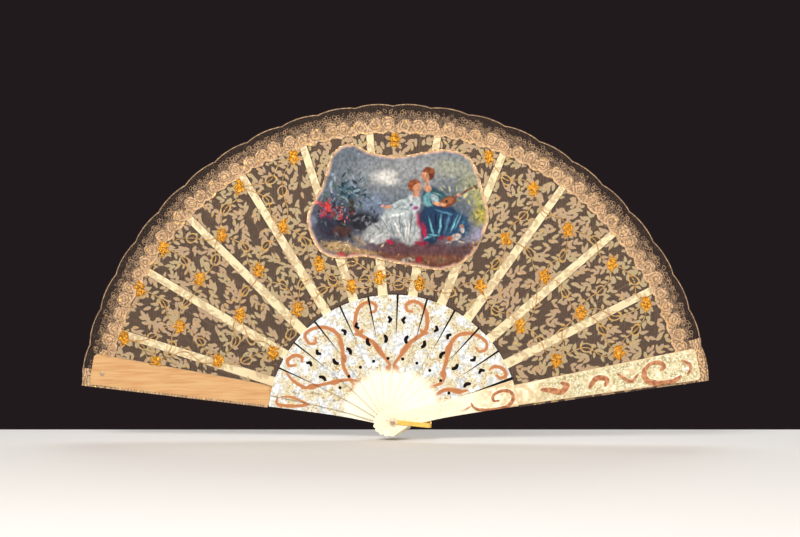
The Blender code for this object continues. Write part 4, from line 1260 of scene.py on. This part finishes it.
FIGURES = (
    # bench and cloak behind the pair
    (20, 127, 10, 12, 0, ROSE, 0.4), (30, 122, 10, 6, -20, (0.36, 0.05, 0.12), 0.5),
    # player in blue, seated on the right
    (33, 132, 17, 13, -18, BLUE, 0.25), (44, 127, 11, 12, -30, (0.07, 0.15, 0.26), 0.3),
    (26, 124, 8, 12, 6, BLUE, 0.3), (27, 148, 7.5, 8.5, 10, (0.07, 0.15, 0.19), 0.3),
    (25, 146, 4.6, 6.5, 0, (0.24, 0.44, 0.48), 0.4), (34, 148, 8, 3, -28, (0.08, 0.17, 0.20), 0.3),
    (24.5, 153.5, 3.4, 3.0, 0, SKIN, 0.4), (23.6, 157.6, 1.6, 2.6, 0, SKIN, 0.4),
    # player's head, hair up
    (24.6, 163.8, 5.0, 5.2, 0, HAIR, 0.3), (22.6, 162.0, 3.2, 4.1, 8, SKIN, 0.25),
    (26.0, 166.4, 4.6, 2.6, -20, (0.34, 0.14, 0.06), 0.4),
    (24.2, 165.8, 4.0, 1.2, 12, (0.30, 0.12, 0.05), 0.5),
    (21.4, 162.5, 0.42, 0.26, 0, DARK, 0.5), (23.9, 162.7, 0.42, 0.26, 0, DARK, 0.5),
    (22.5, 160.9, 0.3, 0.5, 0, (0.56, 0.28, 0.20), 0.8), (22.5, 159.7, 0.8, 0.28, 0, (0.55, 0.14, 0.12), 0.6),
    # skirt folds
    (27, 126, 1.2, 10, 12, LIGHT_BLUE, 0.7), (33, 128, 1.2, 10, -4, LIGHT_BLUE, 0.7),
    (38, 129, 1.0, 10, -14, (0.16, 0.32, 0.44), 0.7), (43, 129, 1.0, 9, -24, LIGHT_BLUE, 0.7),
    (48, 127, 1.0, 8, -30, (0.14, 0.28, 0.40), 0.7), (24, 119, 4, 1.4, 20, LIGHT_BLUE, 0.7),
    (36, 137, 9, 1.2, -16, (0.16, 0.34, 0.46), 0.7), (52, 122, 4, 1.2, -60, (0.18, 0.30, 0.42), 0.7),
    # lute across the lap
    (38.6, 144.4, 6.6, 4.0, 24, (0.26, 0.11, 0.06), 0.2),
    (38.2, 144.8, 5.4, 3.0, 24, (0.44, 0.20, 0.10), 0.4),
    (37.6, 144.6, 1.1, 1.1, 0, DARK, 0.3), (49.5, 150.8, 9.0, 0.9, 28, (0.30, 0.14, 0.07), 0.3),
    (57.6, 154.6, 2.2, 1.0, -40, (0.26, 0.12, 0.07), 0.3), (31.6, 143.0, 5.5, 1.7, -12, SKIN, 0.4),
    (35.6, 142.2, 1.8, 1.3, 0, SKIN, 0.3), (45.8, 148.8, 1.7, 1.4, 0, SKIN, 0.3),
    (29.4, 146.8, 4.4, 2.6, -50, (0.46, 0.56, 0.58), 0.5),
    # listener in white, seated on the left
    (-9, 124, 16, 7.5, 22, (0.50, 0.53, 0.54), 0.3), (4, 131, 15, 13, 14, WHITE, 0.25),
    (-8, 121, 9, 7, 24, (0.52, 0.56, 0.57), 0.3),
    (12, 122, 9, 10, -10, WHITE, 0.3), (14, 143, 6.2, 8.4, -14, (0.58, 0.62, 0.63), 0.25),
    (5.5, 143.6, 7.5, 2.8, 26, (0.52, 0.57, 0.58), 0.3), (-3.5, 140.6, 3.4, 1.4, 8, SKIN, 0.35),
    (-7.4, 141.3, 1.6, 0.9, 20, SKIN, 0.35), (16.4, 149.6, 2.8, 2.4, -20, SKIN, 0.4),
    # listener's head
    (15.0, 155.8, 4.8, 4.8, 0, (0.36, 0.13, 0.05), 0.3), (17.0, 154.2, 3.0, 3.8, -14, SKIN, 0.25),
    (14.4, 158.2, 4.2, 2.3, 24, (0.44, 0.18, 0.08), 0.5), (16.2, 154.9, 0.4, 0.25, 0, DARK, 0.5),
    (18.5, 154.6, 0.4, 0.25, 0, DARK, 0.5), (17.4, 153.4, 0.28, 0.45, 0, (0.56, 0.28, 0.20), 0.8),
    (17.3, 152.3, 0.75, 0.26, 0, (0.55, 0.14, 0.12), 0.6),
    # gown folds
    (-3, 126, 1.1, 9, 44, (0.36, 0.42, 0.44), 0.7), (3, 126, 1.0, 10, 24, (0.82, 0.85, 0.84), 0.7),
    (7, 124, 1.0, 10, 6, (0.34, 0.40, 0.43), 0.7), (11, 124, 1.0, 9, -6, (0.80, 0.83, 0.82), 0.7),
    (15, 124, 1.0, 8, -14, (0.36, 0.42, 0.45), 0.7), (-9, 121, 6, 1.1, 34, (0.78, 0.82, 0.82), 0.7),
    (2, 135, 8, 1.2, 14, (0.80, 0.83, 0.82), 0.7), (8, 139, 7, 1.0, -4, (0.40, 0.46, 0.48), 0.7),
    (13, 146, 1.0, 5, -16, (0.78, 0.80, 0.80), 0.7), (16, 140, 2.4, 1.8, 0, (0.40, 0.12, 0.30), 0.5),
    (12.6, 142, 1.4, 1.2, 0, (0.20, 0.20, 0.44), 0.5), (-14, 117, 4, 1.6, 20, (0.70, 0.74, 0.74), 0.6),
    (-12, 127, 0.8, 8, 52, (0.28, 0.33, 0.35), 0.7), (-5, 129, 0.7, 9, 34, (0.74, 0.78, 0.78), 0.7),
    (0, 124, 0.7, 8, 18, (0.26, 0.31, 0.34), 0.7), (5, 130, 0.7, 9, 4, (0.26, 0.31, 0.34), 0.7),
    (9, 126, 0.7, 8, 0, (0.84, 0.86, 0.84), 0.7), (13, 130, 0.7, 8, -10, (0.28, 0.32, 0.36), 0.7),
    (-15, 121, 5, 0.7, 30, (0.30, 0.34, 0.36), 0.7), (4, 141, 7, 0.6, 30, (0.30, 0.36, 0.38), 0.7),
    (10, 148, 0.7, 4, -30, (0.30, 0.36, 0.38), 0.7), (30, 131, 0.8, 9, 4, (0.02, 0.04, 0.10), 0.7),
    (35, 127, 0.8, 9, -8, (0.02, 0.04, 0.10), 0.7), (41, 131, 0.8, 9, -18, (0.02, 0.05, 0.12), 0.7),
    (46, 131, 0.7, 8, -26, (0.30, 0.50, 0.60), 0.7), (29, 121, 6, 1.0, -10, LIGHT_BLUE, 0.7),
    (22, 124, 2.2, 7, 12, ROSE, 0.5), (-2, 116, 4, 2.4, 0, ROSE, 0.6),
    (20, 115, 7, 2.0, -4, (0.40, 0.05, 0.12), 0.7),
    (31, 149.5, 6, 0.7, -28, (0.26, 0.42, 0.44), 0.7), (27, 144, 0.7, 5, 10, (0.10, 0.24, 0.28), 0.7),
    # small dog
    (44, 119.4, 5.2, 2.5, 12, (0.62, 0.58, 0.56), 0.3), (48.6, 124.2, 1.7, 2.8, 10, (0.64, 0.60, 0.58), 0.3),
    (48.0, 126.8, 2.1, 1.4, 0, (0.50, 0.34, 0.26), 0.35), (39.8, 118.8, 2.7, 2.1, 0, (0.46, 0.17, 0.10), 0.4),
    (48, 116.2, 3.2, 0.7, -16, (0.62, 0.58, 0.56), 0.4), (39, 115.8, 2.6, 0.7, 10, (0.56, 0.50, 0.48), 0.4),
)


# The figures sit this much higher than they are drawn.
FIGURE_RISE = 9.5
PICTURE_BRIGHTNESS, PICTURE_CONTRAST = 0.80, 1.45
BORDER_COLOUR = (0.60, 0.38, 0.28)
SMALLEST_WANDERING = 2.0
NIGHT, MOSS, SMOKE = (0.03, 0.05, 0.06), (0.16, 0.22, 0.20), (0.36, 0.42, 0.48)
FOLIAGE = (
    # (centre), spread, count, size of a leaf, colours
    ((-31, 160), (20, 15), 90, 2.6, ((0.05, 0.12, 0.16), MOSS, SMOKE)),
    ((-42, 150), (16, 14), 60, 2.2, (NIGHT, MOSS, (0.20, 0.24, 0.32))),
    ((-46, 150), (10, 8), 26, 1.7, ((0.60, 0.07, 0.09), (0.75, 0.20, 0.20))),
    ((-38, 144), (9, 6), 18, 1.6, ((0.50, 0.08, 0.10), (0.70, 0.30, 0.30))),
    ((-18, 138), (22, 12), 70, 2.0, (NIGHT, (0.10, 0.11, 0.14), (0.28, 0.30, 0.34))),
    ((-30, 124), (26, 5), 40, 1.8, ((0.46, 0.40, 0.30), (0.16, 0.11, 0.08), (0.66, 0.58, 0.44))),
    ((-30, 116), (28, 3), 40, 1.5, ((0.58, 0.10, 0.12), (0.12, 0.20, 0.16), (0.70, 0.40, 0.30))),
    ((60, 156), (10, 18), 60, 2.2, ((0.42, 0.42, 0.18), (0.62, 0.56, 0.24), (0.24, 0.28, 0.18))),
    ((50, 166), (20, 10), 50, 2.2, ((0.30, 0.32, 0.24), (0.50, 0.50, 0.38))),
    ((58, 124), (12, 8), 40, 1.8, ((0.30, 0.20, 0.16), (0.56, 0.44, 0.24), (0.16, 0.12, 0.14))),
    ((20, 112), (44, 3), 50, 1.6, ((0.24, 0.14, 0.09), (0.52, 0.36, 0.20), (0.14, 0.20, 0.14))),
)


def bodies_of_nodes():
    """Which body carries each node."""
    bodies = frame["record"]["behaviour"]["bodies"]
    return {member: body for body, members in bodies.items() for member in members}


def medallion_nodes():
    return sorted(name for name in NODES if name.startswith("medallion_"))


def build_medallion(settings):
    """The painted panels of the medallion, with a narrow gold braid round them."""
    silk = make_silk()
    gold = make_glitter_metal("gold_braid", (0.62, 0.34, 0.14), (0.95, 0.70, 0.36), 1400.0)
    bodies = bodies_of_nodes()
    rims = medallion_rim()
    for name in medallion_nodes():
        body = bodies[name]
        depth = outermost(node_vertices(name), -1)
        points, edges = outline_at(name, depth)
        points = widened(points, FOLD_LAP if body.startswith("leaf_fold") else PLEAT_LAP)
        flat, faces, _ = dense_face(points, edges, 0.42)
        colours = draw_picture(flat, rim_distance(flat, rims, 6.0))
        vertices = np.column_stack((flat[:, 0], np.full(len(flat), depth), flat[:, 1]))
        piece = new_piece(f"{name}_silk", vertices, orient(vertices, faces, -1), {"picture": colours})
        finish_piece(piece, body, silk)
        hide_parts(name)
        lay_braid(name, body, depth, rims, gold)


def lay_braid(name, body, depth, rims, gold):
    """The stretch of braid along a medallion piece's own part of the rim."""
    v = node_vertices(name)
    span = np.arctan2(v[:, 2], v[:, 0])
    turn = np.arctan2(rims[:, 1], rims[:, 0])
    vertices, edges = [], []
    keep = (turn > span.min()) & (turn < span.max())
    add_stretches(rims, keep, depth - 0.03, vertices, edges)
    if edges:
        sizes = {"Radius": BRAID_RADIUS * MM, "Sides": 6}
        group = shared_group("Cord Along Path", make_cord_group)
        braid = grow(f"{name}_braid", vertices, edges, group, sizes, gold)
        flatten_depth(braid, depth - BRAID_PROUD, BRAID_THICKNESS)
        finish_piece(braid, body, gold)


def widened(points, lap):
    """An outline turned outwards about the rivet on both sides, so that it laps under its neighbours."""
    reach, turn = np.hypot(*points.T), np.arctan2(points[:, 1], points[:, 0])
    middle = (turn.min() + turn.max()) / 2
    turn = turn + np.clip((turn - middle) / (turn.max() - middle) * 1.6, -1, 1) * lap / reach
    return np.column_stack((reach * np.cos(turn), reach * np.sin(turn)))


def flatten_depth(piece, depth, thickness):
    """Presses a cord flat about a depth, so that it lies in its own layer."""
    mesh = piece.data
    flat = np.empty(len(mesh.vertices) * 3, np.float32)
    mesh.vertices.foreach_get("co", flat)
    co = flat.reshape(-1, 3)
    pressed = (co[:, 1] - co[:, 1].mean()) * 0.2
    co[:, 1] = depth * MM + np.clip(pressed, -thickness * MM, thickness * MM)
    mesh.vertices.foreach_set("co", co.ravel())
    mesh.update()


def medallion_rim():
    """Points round the whole medallion, gathered from its pieces' edges that aren't creases."""
    rims = []
    for name in medallion_nodes():
        points, edges = outline_at(name, outermost(node_vertices(name), -1))
        turn = np.degrees(np.arctan2(points[:, 1], points[:, 0]))
        ends = np.array((turn.min(), turn.max()))
        for a, b in edges:
            level = abs(turn[a] - turn[b]) < 0.02
            if level and np.abs(turn[a] - ends).min() < 0.05:
                continue
            p, q = points[a], points[b]
            count = max(1, int(np.hypot(*(q - p)) / 0.7))
            rims += [tuple(p + (q - p) * k / count) for k in range(count)]
    rims = np.array(rims)
    centre = rims.mean(axis=0)
    order = np.argsort(np.arctan2(rims[:, 1] - centre[1], rims[:, 0] - centre[0]))
    return rims[order]


def foliage():
    """Small dabs of leaves and petals: (x, z, half length, half width, turn, colour, softness)."""
    rng = np.random.default_rng(FOLIAGE_SEED)
    dabs = []
    for (x, z), spread, count, size, colours in FOLIAGE:
        for _ in range(count):
            spot = (x, z) + rng.normal(0, 0.5, 2) * spread
            colour = np.array(colours[rng.integers(len(colours))]) * rng.uniform(0.7, 1.25)
            long = size * rng.uniform(0.7, 1.3)
            dabs.append((*spot, long, long * rng.uniform(0.22, 0.4), rng.uniform(0, 180), colour, 0.5))
    return dabs


def draw_picture(flat, away):
    """Colours of the picture at points of the leaf, fading into a pinkish border."""
    wander = np.column_stack((noise(flat, 4.0, 21), noise(flat, 4.0, 22))) - 0.5
    spots = flat + wander * 1.1
    colours = np.tile(np.array(SKY), (len(flat), 1))
    figures = [(x, z + FIGURE_RISE, *rest) for x, z, *rest in FIGURES]
    for x, z, long, wide, turn, colour, soft in (*SCENERY, *foliage(), *figures):
        dx, dz = ((flat if long * wide < SMALLEST_WANDERING else spots) - (x, z)).T
        c, s = cos(radians(turn)), sin(radians(turn))
        u, w = (dx * c + dz * s) / long, (-dx * s + dz * c) / wide
        cover = smoothstep(1.0, 1.0 - soft, np.hypot(u, w))[:, None]
        colours = colours * (1 - cover) + np.array(colour) * cover
    mottle = 0.62 + 0.7 * noise(flat, 1.5, 23)
    low = smoothstep(150, 112, flat[:, 1])[:, None]
    warm = 1 - low * (1 - np.array((0.98, 0.84, 0.80)))
    colours = PICTURE_BRIGHTNESS * colours**PICTURE_CONTRAST * mottle[:, None] * warm
    border = smoothstep(3.4, 0.6, away + noise(flat, 3.0, 24) * 1.4)[:, None]
    return colours * (1 - border) + np.array(BORDER_COLOUR) * border


def build_hardware(settings):
    """The rivet, washers, loop and tip studs."""
    brass = make_metal("gilt_brass", (1.0, 0.66, 0.16), 0.42)
    silver = make_metal("stud_silver", (0.82, 0.78, 0.72), 0.38)
    bronze = make_metal("rivet_bronze", (0.60, 0.44, 0.30), 0.34)
    pearl = make_pearl()
    for name, material in (
        ("rivet_pin", bronze),
        ("rivet_loop", brass),
        ("front_washer", pearl),
        ("back_washer", pearl),
        ("front_tip_stud", silver),
        ("back_tip_stud", bronze),
    ):
        paint_node(name, material)


def area_light(name, place, aim, size, power, colour):
    """A rectangular soft light at a place, aimed at a point of the fan."""
    lamp = bpy.data.lights.new(name, "AREA")
    lamp.shape = "RECTANGLE"
    lamp.size, lamp.size_y = size
    lamp.energy = power
    lamp.color = colour
    holder = bpy.data.objects.new(name, lamp)
    holder.location = place
    holder.rotation_euler = (Vector(aim) - Vector(place)).to_track_quat("-Z", "Y").to_euler()
    bpy.context.scene.collection.objects.link(holder)


FLOOR_DROP = 0.002
FLOOR_HALF_SIZE, FLOOR_BEHIND = 0.9, 0.075
CAMERA_SPOT, VIEW_WIDTH, SENSOR = (0.0049, 0.1069), 0.5627, 36.0
LIGHTS = (
    # name, place, aim, size, share of the key light's power, colour
    ("key", (-0.35, -1.0, 0.75), (0, 0, 0.11), (0.7, 0.5), 1.0, (1.0, 0.96, 0.90)),
    ("fill", (0.8, -0.8, 0.35), (0, 0, 0.11), (0.8, 0.8), 0.45, (1.0, 0.94, 0.88)),
    ("back", (0.1, 0.9, 0.8), (0, 0, 0.1), (0.9, 0.6), 0.5, (0.95, 0.97, 1.0)),
)


def build_stage(settings):
    """Pale floor, soft lights, dark surroundings and the camera."""
    floor_z = (CAD_BOUNDS[0][2] - FLOOR_DROP) / MM
    near, far = -FLOOR_HALF_SIZE, FLOOR_BEHIND
    corners = ((near, near), (-near, near), (-near, far), (near, far))
    vertices = [(x / MM, y / MM, floor_z) for x, y in corners]
    floor = new_piece("floor", vertices, [(0, 1, 2, 3)], smooth=False)
    floor.data.materials.append(make_floor())
    for name, place, aim, size, share, colour in LIGHTS:
        area_light(name, place, aim, size, settings.key_power * share, colour)
    bpy.context.scene.view_settings.view_transform = "Standard"
    world = bpy.data.worlds.new("studio")
    bpy.context.scene.world = world
    world.use_nodes = True
    s = Shader(world.node_tree)
    background = world.node_tree.nodes["Background"]
    seen = s.node("ShaderNodeLightPath").outputs["Is Camera Ray"]
    surroundings = s.mix(seen, (0.30, 0.30, 0.31), (0.016, 0.011, 0.013))
    s.tree.links.new(surroundings, background.inputs["Color"])
    camera = bpy.data.cameras.new("camera")
    camera.sensor_width = SENSOR
    camera.lens = SENSOR * settings.camera_distance / VIEW_WIDTH
    holder = bpy.data.objects.new("camera", camera)
    holder.location = (CAMERA_SPOT[0], -settings.camera_distance, CAMERA_SPOT[1])
    holder.rotation_euler = (pi / 2, 0, 0)
    bpy.context.scene.collection.objects.link(holder)
    bpy.context.scene.camera = holder


# Add-on.


class FanSettings(bpy.types.PropertyGroup):
    """Sizes and colours that a user would change."""

    ivory_colour: FloatVectorProperty(
        name="Ivory", description="Colour of the sticks", subtype="COLOR", size=3,
        default=(0.86, 0.73, 0.46),
    )
    trim_colour: FloatVectorProperty(
        name="Trim", description="Colour of the leaf's ruffled edge", subtype="COLOR", size=3,
        default=(0.56, 0.36, 0.20),
    )
    net_pitch: FloatProperty(
        name="Net pitch", description="Distance between the net's threads", unit="LENGTH",
        default=0.0011, min=0.0005,
    )
    seed: IntProperty(name="Seed", description="Arrangement of thread loops and glitter", default=5)
    key_power: FloatProperty(
        name="Key light", description="Power of the main light", unit="POWER", default=16.0
    )
    camera_distance: FloatProperty(
        name="Camera distance", description="From the fan", unit="LENGTH", default=1.25
    )


class FAN_OT_sticks(bpy.types.Operator):
    """Paint the blades and ribs"""

    bl_idname = "fan.sticks"
    bl_label = "Build Sticks"

    def execute(self, context):
        build_sticks(context.scene.fan_settings)
        return {"FINISHED"}


class FAN_OT_guards(bpy.types.Operator):
    """Carve and paint the two guards"""

    bl_idname = "fan.guards"
    bl_label = "Build Guards"

    def execute(self, context):
        build_guards(context.scene.fan_settings)
        return {"FINISHED"}


class FAN_OT_leaf(bpy.types.Operator):
    """Lay the lace, trim and gold flowers"""

    bl_idname = "fan.leaf"
    bl_label = "Build Leaf"

    def execute(self, context):
        build_leaf(context.scene.fan_settings)
        return {"FINISHED"}


class FAN_OT_medallion(bpy.types.Operator):
    """Paint the medallion"""

    bl_idname = "fan.medallion"
    bl_label = "Build Medallion"

    def execute(self, context):
        build_medallion(context.scene.fan_settings)
        return {"FINISHED"}


class FAN_OT_hardware(bpy.types.Operator):
    """Finish the rivet, loop and studs"""

    bl_idname = "fan.hardware"
    bl_label = "Build Hardware"

    def execute(self, context):
        build_hardware(context.scene.fan_settings)
        return {"FINISHED"}


class FAN_OT_stage(bpy.types.Operator):
    """Set the floor, lights and camera"""

    bl_idname = "fan.stage"
    bl_label = "Build Stage"

    def execute(self, context):
        build_stage(context.scene.fan_settings)
        return {"FINISHED"}


OPERATORS = [
    FAN_OT_sticks, FAN_OT_guards, FAN_OT_leaf, FAN_OT_medallion, FAN_OT_hardware, FAN_OT_stage,
]


class FAN_PT_panel(bpy.types.Panel):
    """Lists the fan's settings and builders."""

    bl_label = "Hand Fan"
    bl_idname = "FAN_PT_panel"
    bl_space_type = "VIEW_3D"
    bl_region_type = "UI"
    bl_category = "Fan"

    def draw(self, context):
        settings = context.scene.fan_settings
        for name in FanSettings.__annotations__:
            self.layout.prop(settings, name)
        for made in OPERATORS:
            self.layout.operator(made.bl_idname)


CLASSES = [FanSettings, *OPERATORS, FAN_PT_panel]


def register():
    for made in CLASSES:
        bpy.utils.register_class(made)
    bpy.types.Scene.fan_settings = PointerProperty(type=FanSettings)


def unregister():
    del bpy.types.Scene.fan_settings
    for made in reversed(CLASSES):
        bpy.utils.unregister_class(made)


def main():
    register()
    bpy.ops.fan.sticks()
    bpy.ops.fan.guards()
    bpy.ops.fan.leaf()
    bpy.ops.fan.medallion()
    bpy.ops.fan.hardware()
    bpy.ops.fan.stage()


if __name__ == "__main__":
    main()
